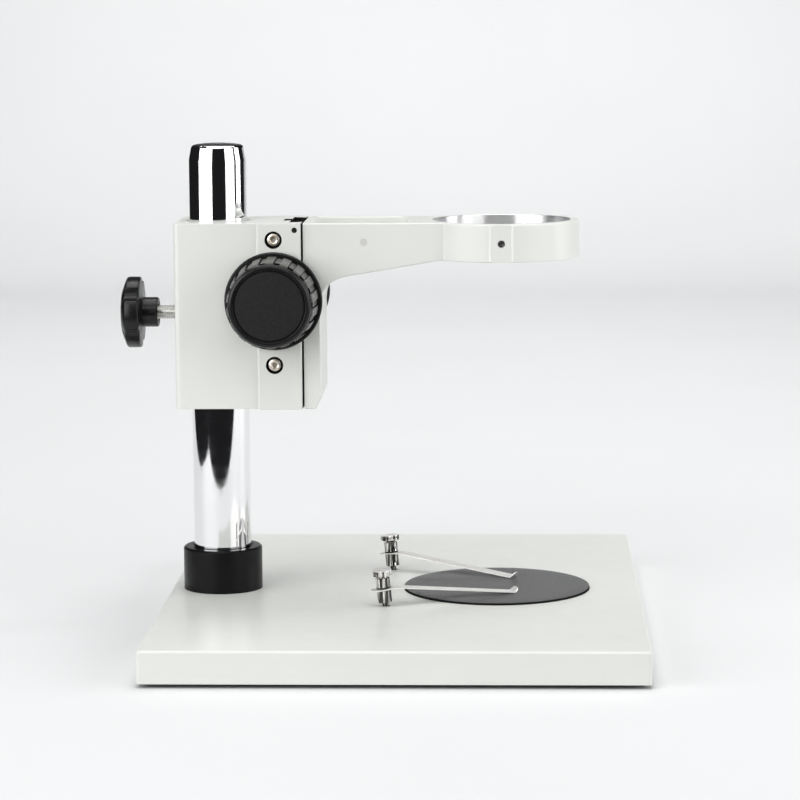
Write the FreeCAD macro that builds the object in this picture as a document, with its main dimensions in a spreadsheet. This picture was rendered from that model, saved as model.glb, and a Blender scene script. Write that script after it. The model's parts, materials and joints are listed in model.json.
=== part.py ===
"""Pole stand of a stereo microscope: base plate, pole, rack-and-pinion focus block and head ring.

Frame: millimetres, +Z up, z = 0 on the surface the rubber feet stand on, origin under the middle of
the bounding box.  +X runs from the pole towards the head ring, -Y is the side with the side screws.
"""
import FreeCAD, Part
import math
import os
import re
import Sketcher

Vector = FreeCAD.Vector
Rotation = FreeCAD.Rotation
doc = FreeCAD.newDocument("MicroscopeStand")
sheet = doc.addObject("Spreadsheet::Sheet", "Dims")

DIMENSIONS = {
    # places of the main axes
    "base_x": 12.85, "pole_x": -89.5, "ring_x": 67.4, "stage_x": 64.3,
    "clip_x": 4.5, "clip_y": 52.9, "focus_x": -56.7, "focus_z": 184.0,
    # base plate on four feet
    "base_w": 262.0, "base_d": 338.0, "base_t": 17.2, "foot_gap": 2.0,
    "base_corner": 2.0, "base_edge": 1.6, "foot_inset": 26.0, "foot_r": 10.0,
    "foot_sink": 3.0, "foot_screw_r": 2.0, "foot_head_r": 3.8, "foot_tap_depth": 11.5,
    "stage_r": 51.75, "stage_t": 3.3, "stage_sink": 2.0, "stage_gap": 0.4,
    # pole and its collar
    "pole_r": 16.0, "pole_len": 249.5, "taper_len": 7.5, "tip_r": 14.5, "dome_rise": 1.8,
    "collar_r": 22.0, "collar_len": 24.0, "collar_bevel": 0.7, "pole_clear": 0.05,
    "bolt_r": 5.0, "bolt_sink": 10.0, "washer_r": 10.0, "washer_t": 2.0,
    "bolt_head": 6.4, "collar_screw_r": 2.5,
    # focus block housing, measured from the pole axis
    "head_z": 124.1, "head_len": 101.9, "rear_x": 22.1, "step_x": 22.1, "front_x": 47.85,
    "half_rear": 29.0, "half_front": 31.3, "head_corner": 3.0, "head_edge": 1.2,
    "liner_in": 16.04, "liner_out": 17.0, "liner_gap": 0.05, "liner_drop": 0.6, "bore_bevel": 1.0,
    # dovetail
    "mouth_half": 17.0, "floor_half": 21.0, "groove_depth": 7.0, "relief_half": 6.5,
    "relief_depth": 4.25, "slide_gap": 0.06, "gib_y": 1.73, "gib_inset": 2.0, "arm_gap": 1.0,
    "slide_back": 0.3, "slide_drop": 5.0, "slide_screw_y": 10.5,
    # pinion carrier inside the housing
    "carrier_back": 65.0, "carrier_front": 53.1, "carrier_half": 11.0, "carrier_low": 144.0,
    "carrier_top": 222.0, "carrier_gap": 0.05,
    # rack and pinion, 0.75 mm module
    "tooth_module": 0.75, "tooth_count": 16, "rack_teeth": 26, "rack_low": 146.0,
    "rack_top": 219.0, "rack_half": 5.0, "rack_back": 45.85, "tooth_slack": 0.06,
    "gear_half": 7.0, "shaft_r": 4.0, "shaft_clear": 0.04, "bush_r": 6.0, "bush_len": 14.0,
    # side screws and stop pin
    "screw_low_z": 148.5, "screw_top_z": 217.1, "cap_r": 3.5, "cap_len": 4.0,
    "cap_sink": 1.1, "cap_bore": 4.75, "side_screw_r": 2.0,
    "pin_x": -45.15, "pin_z": 222.4, "pin_r": 1.5, "gib_screw_r": 2.0,
    # focus knobs, measured outwards from the flange's inner face
    "knob_y": 31.8, "flange_r": 26.75, "flange_t": 3.8, "core_r": 20.5, "core_end": 26.5,
    "web_start": 20.0, "web_end": 24.0, "knob_screw_r": 2.0, "knob_head_r": 3.5,
    "grip_start": 4.0, "grip_end": 28.2, "valley_back": 23.75, "valley_front": 22.4,
    "pad_back": 24.7, "pad_front": 23.5, "pad_angle": 12.2, "pad_count": 18,
    "rim_r": 22.6, "disc_r": 18.9, "rim_end": 31.7, "disc_end": 31.1, "rim_bevel": 1.7,
    # clamp on the back of the housing
    "clamp_z": 174.9, "pad_r": 3.2, "pad_t": 1.0, "stud_r": 3.9, "stud_in": 11.6,
    "star_r": 19.7, "star_hub_r": 8.25, "star_hub": 8.7, "star_rear": 9.5, "star_rim": 16.9,
    "star_face": 19.8, "star_face_r": 14.0, "star_end": 20.45, "star_start": 123.4,
    "notch_r": 4.0, "notch_at": 21.5, "notch_count": 5, "clamp_gap": 0.05,
    # arm and head ring
    "arm_top": 226.0, "arm_half": 29.0, "block_front": 31.5, "block_cut_x": 2.8,
    "block_cut_z": 6.9, "under_low": 194.45, "under_high": 205.3, "under_end": 33.3,
    "corner_r": 18.0, "block_corner": 2.2, "arm_edge": 1.3, "ring_out": 43.0, "ring_in": 38.0,
    "ring_flat": 42.6, "well_start": -35.8, "well_end": 16.0, "well_half": 24.0,
    "well_floor": 212.0, "well_corner": 8.0, "well_back": 3.5,
    "plug_x": -7.55, "plug_z": 215.6, "plug_r": 2.0, "ring_screw_z": 215.4, "ring_screw_r": 2.0,
    # stage clips, measured up from the top of the base
    "clip_pin_r": 1.65, "clip_pin_hole": 2.25, "clip_pin_in": 7.0, "clip_low": 2.1,
    "clip_mid": 9.4, "clip_post_r": 3.85, "clip_stud_r": 1.95, "strip_t": 0.5,
    "strip_gap": 0.05, "clip_upper": 16.2, "clip_neck_r": 2.6, "clip_head_low": 17.2,
    "clip_head_top": 20.2, "clip_head_r": 5.35, "strip_w": 9.4, "strip_tip_w": 8.0, "strip_tail": 7.0,
    "strip_bend": 6.0, "strip_touch": 75.4, "strip_end": 78.4, "strip_low": -6.86,
    "strip_curl": -4.5, "strip_turn": 24.4, "clip_lean": 6.5,
}
for line, (alias, size) in enumerate(DIMENSIONS.items(), start=1):
    sheet.set(f"A{line}", alias)
    sheet.set(f"B{line}", str(size))
    sheet.setAlias(f"B{line}", alias)
doc.recompute()

nodes = []
TURNS = {
    "Z": Rotation(),
    "-Z": Rotation(Vector(1, 0, 0), 180),
    "X": Rotation(Vector(0, 1, 0), 90),
    "-X": Rotation(Vector(0, 1, 0), -90),
    "Y": Rotation(Vector(1, 0, 0), -90),
    "-Y": Rotation(Vector(1, 0, 0), 90),
}


# ---------------------------------------------------------------- helpers

def formula(text):
    """Point every alias in a formula at the Dims sheet; aliases all hold an underscore."""
    return re.sub(r"\b[a-z]+(?:_[a-z]+)+\b", lambda word: "Dims." + word.group(0), text)


def number(text):
    """Today's value of a formula."""
    return float(sheet.evalExpression(text))


def bind(thing, **formulas):
    for prop, text in formulas.items():
        thing.setExpression(prop, formula(text))


def place(thing, x="0", y="0", z="0", along="Z", turn=None):
    """Put a piece at (x, y, z), with its own Z axis along the named direction."""
    thing.Placement = FreeCAD.Placement(Vector(), turn or TURNS[along])
    for axis, text in zip("xyz", (x, y, z)):
        thing.setExpression("Placement.Base." + axis, formula(text))
    return thing


def box(name, length, width, height, x, y, z):
    """A block of the given size whose lowest corner is at (x, y, z)."""
    block = doc.addObject("Part::Box", name)
    bind(block, Length=length, Width=width, Height=height)
    return place(block, x, y, z)


def rod(name, radius, length, x="0", y="0", z="0", along="Z"):
    """A cylinder that starts at (x, y, z)."""
    cylinder = doc.addObject("Part::Cylinder", name)
    bind(cylinder, Radius=radius, Height=length)
    return place(cylinder, x, y, z, along)


def hexagon(name, across, length, x, y, z, along):
    """A six-sided prism, given by its width across the flats."""
    prism = doc.addObject("Part::Prism", name)
    prism.Polygon = 6
    bind(prism, Circumradius=f"({across}) / 2 / cos(30)", Height=length)
    return place(prism, x, y, z, along)


def join(name, pieces):
    union = doc.addObject("Part::MultiFuse", name)
    union.Shapes = pieces
    return union


def carve(name, blank, tools):
    """The blank with every tool cut out of it."""
    cut = doc.addObject("Part::Cut", name)
    cut.Base = blank
    cut.Tool = tools[0] if len(tools) == 1 else join(name + "_tools", tools)
    return cut


def group(name, pieces):
    """Identical pieces kept as separate solids."""
    together = doc.addObject("Part::Compound", name)
    together.Links = pieces
    return together


def node(thing, label):
    """Register a finished sub-part under the label that names its file."""
    thing.Label = label
    if thing.Label != label:
        raise RuntimeError("label already taken: " + label)
    nodes.append(thing)
    return thing


def new_body(name):
    return doc.addObject("PartDesign::Body", name)


def sketch_on(body, plane, name, offset="0"):
    """An empty sketch on one of the body's own origin planes, moved along its normal."""
    sketch = body.newObject("Sketcher::SketchObject", name)
    support = next(f for f in body.Origin.OriginFeatures if f.Role == plane)
    sketch.AttachmentSupport = [(support, "")]
    sketch.MapMode = "FlatFace"
    sketch.setExpression("AttachmentOffset.Base.z", formula(offset))
    return sketch


def pin_point(sketch, geometry, point, x, y):
    """Fix a point of the sketch at (x, y), both given as formulas."""
    for kind, text, axis in (("DistanceX", x, -2), ("DistanceY", y, -1)):
        size = number(text)
        if abs(size) < 1e-9:
            sketch.addConstraint(Sketcher.Constraint("PointOnObject", geometry, point, axis))
        else:
            rule = Sketcher.Constraint(kind, -1, 1, geometry, point, size)
            index = sketch.addConstraint(rule)
            sketch.setExpression(f"Constraints[{index}]", formula(text))


def add_polygon(sketch, corners):
    """A closed outline through corners given as pairs of formulas."""
    first = sketch.GeometryCount
    count = len(corners)
    spots = [Vector(number(x), number(y), 0) for x, y in corners]
    for i in range(count):
        sketch.addGeometry(Part.LineSegment(spots[i], spots[(i + 1) % count]))
    for i in range(count):
        after = first + (i + 1) % count
        sketch.addConstraint(Sketcher.Constraint("Coincident", first + i, 2, after, 1))
    for i, (x, y) in enumerate(corners):
        pin_point(sketch, first + i, 1, x, y)


def add_rectangle(sketch, left, bottom, right, top):
    add_polygon(sketch, [(left, bottom), (right, bottom), (right, top), (left, top)])


def add_circle(sketch, x, y, radius):
    spot = Vector(number(x), number(y), 0)
    index = sketch.addGeometry(Part.Circle(spot, Vector(0, 0, 1), number(radius)))
    rule = sketch.addConstraint(Sketcher.Constraint("Radius", index, number(radius)))
    sketch.setExpression(f"Constraints[{rule}]", formula(radius))
    pin_point(sketch, index, 3, x, y)


def pad(body, sketch, length, both_ways=False, backwards=False):
    feature = body.newObject("PartDesign::Pad", sketch.Name + "_pad")
    feature.Profile = (sketch, [""])
    feature.SideType = "Symmetric" if both_ways else "One side"
    feature.Reversed = backwards
    bind(feature, Length=length)
    doc.recompute()
    return feature


def pocket(body, sketch, depth=None, backwards=False, both_ways=False):
    """Cut the sketch out of the body, to a depth or right through, and prove that it cut."""
    before = body.Shape.Volume
    feature = body.newObject("PartDesign::Pocket", sketch.Name + "_pocket")
    feature.Profile = (sketch, [""])
    feature.Reversed = backwards
    feature.SideType = "Symmetric" if both_ways else "One side"
    if depth is None:
        feature.Type = "ThroughAll"
    else:
        bind(feature, Length=depth)
    doc.recompute()
    if body.Shape.Volume > before - 0.01:
        raise RuntimeError("pocket cut nothing: " + feature.Name)
    return feature


def revolve(body, sketch):
    feature = body.newObject("PartDesign::Revolution", sketch.Name + "_turn")
    feature.Profile = (sketch, [""])
    feature.ReferenceAxis = (sketch, ["V_Axis"])
    feature.Angle = 360
    return feature


def turned(name, profile):
    """A lathe part: (radius, height) corners turned about the body's Z axis."""
    body = new_body(name)
    sketch = sketch_on(body, "XZ_Plane", name + "_profile")
    add_polygon(sketch, profile)
    revolve(body, sketch)
    return body


def prism(name, plane, corners, length, both_ways=False):
    """A straight part: an outline pushed along its plane's normal."""
    body = new_body(name)
    sketch = sketch_on(body, plane, name + "_outline")
    add_polygon(sketch, corners)
    pad(body, sketch, length, both_ways)
    return body


def repeat_round(body, feature, sketch, count):
    """Repeat a feature evenly about the normal of its sketch."""
    pattern = body.newObject("PartDesign::PolarPattern", feature.Name + "_round")
    pattern.Originals = [feature]
    pattern.Axis = (sketch, ["N_Axis"])
    pattern.Angle = 360
    bind(pattern, Occurrences=count)
    body.Tip = pattern
    return pattern


def edge_names(shape, wanted):
    return [f"Edge{i}" for i, edge in enumerate(shape.Edges, start=1) if wanted(edge)]


def dress(body, kind, size, wanted):
    """Fillet or chamfer the edges that pass a test."""
    doc.recompute()
    base = body.Tip
    names = edge_names(base.Shape, wanted)
    if not names:
        raise RuntimeError("no edges to dress on " + body.Name)
    feature = body.newObject("PartDesign::" + kind, body.Name + "_" + kind)
    feature.Base = (base, names)
    bind(feature, **{"Radius" if kind == "Fillet" else "Size": size})
    doc.recompute()
    return feature


def straight(edge):
    return isinstance(edge.Curve, Part.Line)


def upright(edge):
    """A straight edge along the body's Z axis."""
    return straight(edge) and abs(edge.tangentAt(edge.FirstParameter).z) > 0.999


def at_height(edge, height):
    return abs(edge.BoundBox.ZMin - height) < 1e-4 and abs(edge.BoundBox.ZMax - height) < 1e-4


def socket_screw(name, cap_r, cap_len, shank_r, shank_len, x, y, z, along):
    """A cap screw whose head starts at (x, y, z); the shank runs on in the same direction."""
    profile = [("0", "0"), (cap_r, "0"), (cap_r, cap_len), (shank_r, cap_len),
               (shank_r, f"({cap_len}) + ({shank_len})"), ("0", f"({cap_len}) + ({shank_len})")]
    blank = place(turned(name + "_blank", profile), x, y, z, along)
    key = hexagon(name + "_key", f"({cap_r}) * 0.95", f"({cap_len}) * 0.55", x, y, z, along)
    return carve(name, blank, [key])


def grub_screw(name, radius, length, x, y, z, along):
    """A headless screw with its key at (x, y, z), running on in the named direction."""
    blank = rod(name + "_blank", radius, length, x, y, z, along)
    key = hexagon(name + "_key", f"({radius}) * 1.05", f"({length}) * 0.45", x, y, z, along)
    return carve(name, blank, [key])


# ---------------------------------------------------------------- base

FOOT_SPOTS = [(sx, sy) for sx in (-1, 1) for sy in (-1, 1)]
FOOT_X = "(base_w / 2 - foot_inset)"
FOOT_Y = "(base_d / 2 - foot_inset)"
SIDES = {"near": -1, "far": 1}


def build_base():
    """Thick plate with seats below for feet and pole bolt, and above for stage disc and clips."""
    body = new_body("base_body")
    outline = sketch_on(body, "XY_Plane", "base_outline")
    add_rectangle(outline, "-base_w / 2", "-base_d / 2", "base_w / 2", "base_d / 2")
    pad(body, outline, "base_t")
    dress(body, "Fillet", "base_corner", upright)
    top = DIMENSIONS["base_t"]
    dress(body, "Fillet", "base_edge", lambda edge: at_height(edge, top))

    seats = sketch_on(body, "XY_Plane", "foot_seats")
    for sx, sy in FOOT_SPOTS:
        add_circle(seats, f"{sx} * {FOOT_X}", f"{sy} * {FOOT_Y}", "foot_r + 0.2")
    pocket(body, seats, "foot_sink", backwards=True)
    taps = sketch_on(body, "XY_Plane", "foot_taps")
    for sx, sy in FOOT_SPOTS:
        add_circle(taps, f"{sx} * {FOOT_X}", f"{sy} * {FOOT_Y}", "foot_screw_r + 0.05")
    pocket(body, taps, "foot_tap_depth", backwards=True)

    bolt_seat = sketch_on(body, "XY_Plane", "bolt_seat")
    add_circle(bolt_seat, "pole_x - base_x", "0", "washer_r + 1")
    pocket(body, bolt_seat, "bolt_sink", backwards=True)
    bolt_hole = sketch_on(body, "XY_Plane", "bolt_hole")
    add_circle(bolt_hole, "pole_x - base_x", "0", "bolt_r + 0.25")
    pocket(body, bolt_hole, None, backwards=True)

    recess = sketch_on(body, "XY_Plane", "stage_recess", "base_t")
    add_circle(recess, "stage_x - base_x", "0", "stage_r + stage_gap")
    pocket(body, recess, "stage_sink")
    clip_holes = sketch_on(body, "XY_Plane", "clip_holes", "base_t")
    for side in SIDES.values():
        add_circle(clip_holes, "clip_x - base_x", f"{side} * clip_y", "clip_pin_hole")
    pocket(body, clip_holes, "clip_pin_in + 0.5")
    place(body, "base_x", "0", "foot_gap")
    node(body, "base_plate")


def build_stage_plate():
    edge = "0.3"
    profile = [("0", "0"), ("stage_r", "0"), ("stage_r", f"stage_t - {edge}"),
               (f"stage_r - {edge}", "stage_t"), ("0", "stage_t")]
    plate = turned("stage_disc", profile)
    place(plate, "stage_x", "0", "foot_gap + base_t - stage_sink + 0.02")
    node(plate, "stage_plate")


def build_feet():
    """Rubber discs let into the casting, each held by a pan-head screw."""
    feet, screws = [], []
    profile = [("foot_screw_r + 0.3", "2.6"), ("foot_head_r + 0.7", "2.6"), ("foot_head_r + 0.7", "0"),
               ("foot_r - 1", "0"), ("foot_r", "1.6"), ("foot_r", "foot_gap + foot_sink - 0.05"),
               ("foot_screw_r + 0.3", "foot_gap + foot_sink - 0.05")]
    for i, (sx, sy) in enumerate(FOOT_SPOTS):
        x, y = f"base_x + {sx} * {FOOT_X}", f"{sy} * {FOOT_Y}"
        feet.append(place(turned(f"foot_{i}", profile), x, y))
        screws.append(socket_screw(f"foot_screw_{i}", "foot_head_r", "2", "foot_screw_r", "9",
                                   x, y, "0.6", "Z"))
    node(group("feet", feet), "rubber_feet")
    node(group("foot_screw_set", screws), "foot_screws")


# ---------------------------------------------------------------- pole

def build_pole():
    """Solid round bar with a tapered, slightly domed top and a tapped foot."""
    shoulder = "(pole_len - dome_rise)"
    profile = [("0", "0"), ("pole_r - 0.5", "0"), ("pole_r", "0.5"),
               ("pole_r", f"{shoulder} - taper_len"), ("tip_r", shoulder), ("0", shoulder)]
    stem = place(turned("pole_stem", profile), "pole_x", "0", "foot_gap + base_t")
    ball = doc.addObject("Part::Sphere", "pole_ball")
    dome_r = "((tip_r * tip_r + dome_rise * dome_rise) / 2 / dome_rise)"
    bind(ball, Radius=dome_r)
    place(ball, "pole_x", "0", f"foot_gap + base_t + pole_len - {dome_r}")
    dome = doc.addObject("Part::Common", "pole_dome")
    dome.Base = rod("pole_tip", "tip_r", "dome_rise + 2", "pole_x", "0",
                    f"foot_gap + base_t + {shoulder} - 1")
    dome.Tool = ball
    tap = rod("pole_tap", "bolt_r + 0.05", "32", "pole_x", "0", "foot_gap + base_t - 1")
    node(carve("pole_bar", join("pole_whole", [stem, dome]), [tap]), "pole")


def build_collar():
    """Black ring that hides the pole's foot, with a set screw at the far side."""
    inner = "pole_r + pole_clear"
    profile = [(inner, "0"), ("collar_r", "0"), ("collar_r", "collar_len - collar_bevel"),
               ("collar_r - collar_bevel", "collar_len"),
               (f"{inner} + 0.9", "collar_len"), (inner, "collar_len - 0.9")]
    blank = place(turned("collar_ring", profile), "pole_x", "0", "foot_gap + base_t")
    middle = "foot_gap + base_t + collar_len / 2"
    hole = rod("collar_tap", "collar_screw_r + 0.05", "collar_r", "pole_x", "0", middle, "Y")
    node(carve("collar_tapped", blank, [hole]), "pole_collar")
    screw = grub_screw("collar_grub", "collar_screw_r", "collar_r - pole_r - 0.9",
                       "pole_x", "collar_r - 0.6", middle, "-Y")
    node(screw, "collar_set_screw")


def build_pole_bolt():
    head_z = "foot_gap + bolt_sink - washer_t - bolt_head"
    washer_z = "foot_gap + bolt_sink - washer_t"
    washer = turned("bolt_washer", [("bolt_r + 0.25", "0"), ("washer_r", "0"),
                                    ("washer_r", "washer_t"), ("bolt_r + 0.25", "washer_t")])
    node(place(washer, "pole_x", "0", washer_z), "pole_washer")
    head = hexagon("bolt_hex", "16", "bolt_head", "pole_x", "0", head_z, "Z")
    shank = rod("bolt_shank", "bolt_r", "washer_t + base_t - bolt_sink + 26", "pole_x", "0",
                washer_z, "Z")
    node(join("bolt_whole", [head, shank]), "pole_bolt")


# ---------------------------------------------------------------- focus block housing

FLANK = "(floor_half - mouth_half) / groove_depth"


def flank_y(depth, side, inset="0"):
    """Where a dovetail flank lies at a depth behind the housing's front face."""
    return f"{side} * (mouth_half + {FLANK} * ({depth}) - ({inset}))"


def build_housing():
    """Bored for the pole at the back, dovetail groove and pinion chamber at the front."""
    body = new_body("housing_body")
    floor_x = "front_x - groove_depth"
    relief_x = "front_x - groove_depth - relief_depth"
    right = [("step_x + 1.6", "half_rear"), ("step_x + 1.6", "half_front"),
             ("front_x", "half_front"), ("front_x", "mouth_half"), (floor_x, "floor_half"),
             (floor_x, "relief_half"), (relief_x, "relief_half")]
    left = [(x, "-" + y) for x, y in reversed(right)]
    corners = [("-rear_x", "half_rear")] + right + left + [("-rear_x", "-half_rear")]
    outline = sketch_on(body, "XY_Plane", "housing_outline")
    add_polygon(outline, corners)
    pad(body, outline, "head_len")

    rear, wide = -DIMENSIONS["rear_x"], DIMENSIONS["half_front"]
    step = DIMENSIONS["step_x"] + 1.6
    narrow = DIMENSIONS["half_rear"]

    def at(edge, x, y):
        spot = edge.CenterOfMass
        return abs(spot.x - x) < 1e-4 and abs(abs(spot.y) - y) < 1e-4

    dress(body, "Fillet", "head_corner", lambda edge: upright(edge) and at(edge, rear, narrow))
    dress(body, "Fillet", "head_edge * 1.6",
          lambda edge: upright(edge) and at(edge, step, wide))
    dress(body, "Fillet", "head_edge",
          lambda edge: upright(edge) and at(edge, DIMENSIONS["front_x"], wide))
    top = DIMENSIONS["head_len"]

    def outer_rim(edge):
        box_of = edge.BoundBox
        level = at_height(edge, 0) or at_height(edge, top)
        outside = max(abs(box_of.YMin), abs(box_of.YMax)) > narrow - 4 or box_of.XMax < rear + 1
        front = box_of.XMin > DIMENSIONS["front_x"] - 1e-3
        inner = box_of.YMin > -wide and box_of.YMax < wide and box_of.XMin > step
        return level and outside and not front and not inner

    dress(body, "Chamfer", "head_edge * 0.7", outer_rim)

    bore = sketch_on(body, "XY_Plane", "housing_bore", "head_len")
    add_circle(bore, "0", "0", "liner_out + 0.04")
    pocket(body, bore)
    bore_r = number("liner_out + 0.04")
    dress(body, "Chamfer", "bore_bevel",
          lambda edge: isinstance(edge.Curve, Part.Circle) and abs(edge.Curve.Radius - bore_r) < 1e-4
          and (at_height(edge, 0) or at_height(edge, top)))
    place(body, "pole_x", "0", "head_z")

    doc.recompute()
    near_face = "-half_front"
    tools = [
        box("carrier_chamber", "carrier_back + pole_x + front_x - groove_depth + 0.01",
            "2 * (carrier_half + carrier_gap)", "carrier_top - carrier_low + 2 * carrier_gap",
            "-carrier_back", "-carrier_half - carrier_gap", "carrier_low - carrier_gap"),
        rod("shaft_bore", "bush_r + 0.01", "2 * half_front + 2", "focus_x", "-half_front - 1",
            "focus_z", "Y"),
        rod("clamp_tap", "stud_r + clamp_gap", "rear_x", "pole_x - rear_x - 1", "0", "clamp_z", "X"),
        rod("stop_hole", "pin_r + 0.02", "half_front - mouth_half", "pin_x", near_face, "pin_z", "Y"),
    ]
    for height in ("screw_low_z", "screw_top_z"):
        tools.append(rod(f"cap_seat_{height}", "cap_bore", "cap_sink + cap_len", "focus_x",
                         near_face, height, "Y"))
        tools.append(rod(f"cap_way_{height}", "side_screw_r + 0.25", "half_front", "focus_x",
                         near_face, height, "Y"))
    for i, height in enumerate(GIB_SCREW_HEIGHTS):
        tools.append(rod(f"gib_tap_{i}", "gib_screw_r", "half_front - mouth_half",
                         "pin_x", "half_front", height, "-Y"))
    node(carve("housing_cut", body, tools), "housing")


GIB_SCREW_HEIGHTS = [f"head_z + head_len * {part}" for part in ("0.2", "0.5", "0.8")]


def build_liner():
    """Slit tube that the clamp squeezes onto the pole."""
    profile = [("liner_in", "0"), ("liner_out", "0"), ("liner_out", "head_len - 2 * liner_drop"),
               ("liner_in", "head_len - 2 * liner_drop")]
    tube = place(turned("liner_tube", profile), "pole_x", "0", "head_z + liner_drop")
    slit = box("liner_slit", "pole_r + liner_out", "1.6", "head_len", "pole_x", "-0.8", "head_z")
    node(carve("liner_cut", tube, [slit]), "bore_liner")


def build_gib():
    """Brass wedge between the slide and the far flank, pressed by three grub screws."""
    shallow, deep = "0.4", "groove_depth - 0.2"
    skin = "0.03"
    corners = []
    for depth, inset in ((shallow, skin), (deep, skin), (deep, "gib_y"), (shallow, "gib_y")):
        corners.append((f"front_x - ({depth})", flank_y(depth, "1", inset)))
    strip = prism("gib_bar", "XY_Plane", corners, "head_len - 2 * gib_inset")
    node(place(strip, "pole_x", "0", "head_z + gib_inset"), "gib_strip")
    screws = []
    for i, height in enumerate(GIB_SCREW_HEIGHTS):
        screws.append(grub_screw(f"gib_grub_{i}", "gib_screw_r - 0.02", "9.4", "pin_x",
                                 "half_front - 1.2", height, "-Y"))
    node(group("gib_screw_set", screws), "gib_screws")


def build_side_screws():
    screws = []
    for height in ("screw_low_z", "screw_top_z"):
        screws.append(socket_screw(f"side_{height}", "cap_r", "cap_len", "side_screw_r", "20",
                                   "focus_x", "cap_sink - half_front", height, "Y"))
    node(group("side_screw_set", screws), "side_screws")
    pin = rod("stop_rod", "pin_r", "12.9", "pin_x", "0.6 - half_front", "pin_z", "Y")
    node(pin, "stop_pin")


def build_carrier():
    """Steel block that holds the pinion in the middle of the housing."""
    blank = box("carrier_bar", "carrier_back - carrier_front - carrier_gap", "2 * carrier_half",
                "carrier_top - carrier_low", "carrier_gap - carrier_back", "-carrier_half",
                "carrier_low")
    window = box("pinion_window", "carrier_back", "2 * gear_half + 1.6", "15.6",
                 "-carrier_back - 1", "-gear_half - 0.8", "focus_z - 7.8")
    way = rod("carrier_shaft_way", "shaft_r + 0.1", "2 * carrier_half + 2", "focus_x",
              "-carrier_half - 1", "focus_z", "Y")
    tools = [window, way]
    for height in ("screw_low_z", "screw_top_z"):
        tools.append(rod(f"carrier_tap_{height}", "side_screw_r + 0.02", "carrier_half + 0.5",
                         "focus_x", "-carrier_half - 1", height, "Y"))
    node(carve("carrier_cut", blank, tools), "pinion_carrier")


def build_pinion():
    """Shaft with a 16-tooth gear in the middle, running in two bronze bushes."""
    shaft = rod("shaft_bar", "shaft_r", "2 * (knob_y + web_start - 0.1)", "focus_x",
                "0.1 - knob_y - web_start", "focus_z", "Y")
    taps = []
    for name, side in SIDES.items():
        taps.append(rod(f"shaft_tap_{name}", "knob_screw_r + 0.02", "15", "focus_x",
                        f"{side} * (knob_y + web_start)", "focus_z", "-Y" if side > 0 else "Y"))
    node(carve("shaft_cut", shaft, taps), "pinion_shaft")

    body = new_body("gear_body")
    tip = "(tooth_module * (tooth_count + 2) / 2)"
    root = "(tooth_module * (tooth_count - 2.5) / 2)"
    disc = sketch_on(body, "XY_Plane", "gear_disc")
    add_circle(disc, "0", "0", tip)
    add_circle(disc, "0", "0", "shaft_r + 0.01")
    pad(body, disc, "2 * gear_half", both_ways=True)
    gap = sketch_on(body, "XY_Plane", "gear_gap", "gear_half")
    tip_half = "(tooth_module * 1.436)"
    root_half = "(tooth_module * 0.56)"
    flare = f"(({tip_half} - {root_half}) / (2.25 * tooth_module) * 0.4)"
    add_polygon(gap, [(root, f"-{root_half}"), (f"{tip} + 0.4", f"-{tip_half} - {flare}"),
                      (f"{tip} + 0.4", f"{tip_half} + {flare}"), (root, root_half)])
    space = pocket(body, gap)
    repeat_round(body, space, gap, "tooth_count")
    place(body, "focus_x", "0", "focus_z", "Y")
    node(body, "pinion_gear")

    bushes = []
    for name, side in SIDES.items():
        bush = turned(f"bush_{name}", [("shaft_r + shaft_clear", "0"), ("bush_r", "0"),
                                       ("bush_r", "bush_len"), ("shaft_r + shaft_clear", "bush_len")])
        y = "half_front - 0.1 - bush_len" if side > 0 else "0.1 - half_front"
        bushes.append(place(bush, "focus_x", y, "focus_z", "Y"))
    node(group("bush_pair", bushes), "shaft_bushes")

    washers = []
    for name, side in SIDES.items():
        washer = turned(f"tension_{name}", [("shaft_r + 0.5", "0"), ("flange_r - 7", "0"),
                                            ("flange_r - 7", "0.4"), ("shaft_r + 0.5", "0.4")])
        y = "half_front + 0.03" if side > 0 else "-half_front - 0.43"
        washers.append(place(washer, "focus_x", y, "focus_z", "Y"))
    node(group("tension_pair", washers), "tension_washers")


# ---------------------------------------------------------------- focus knobs

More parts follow.
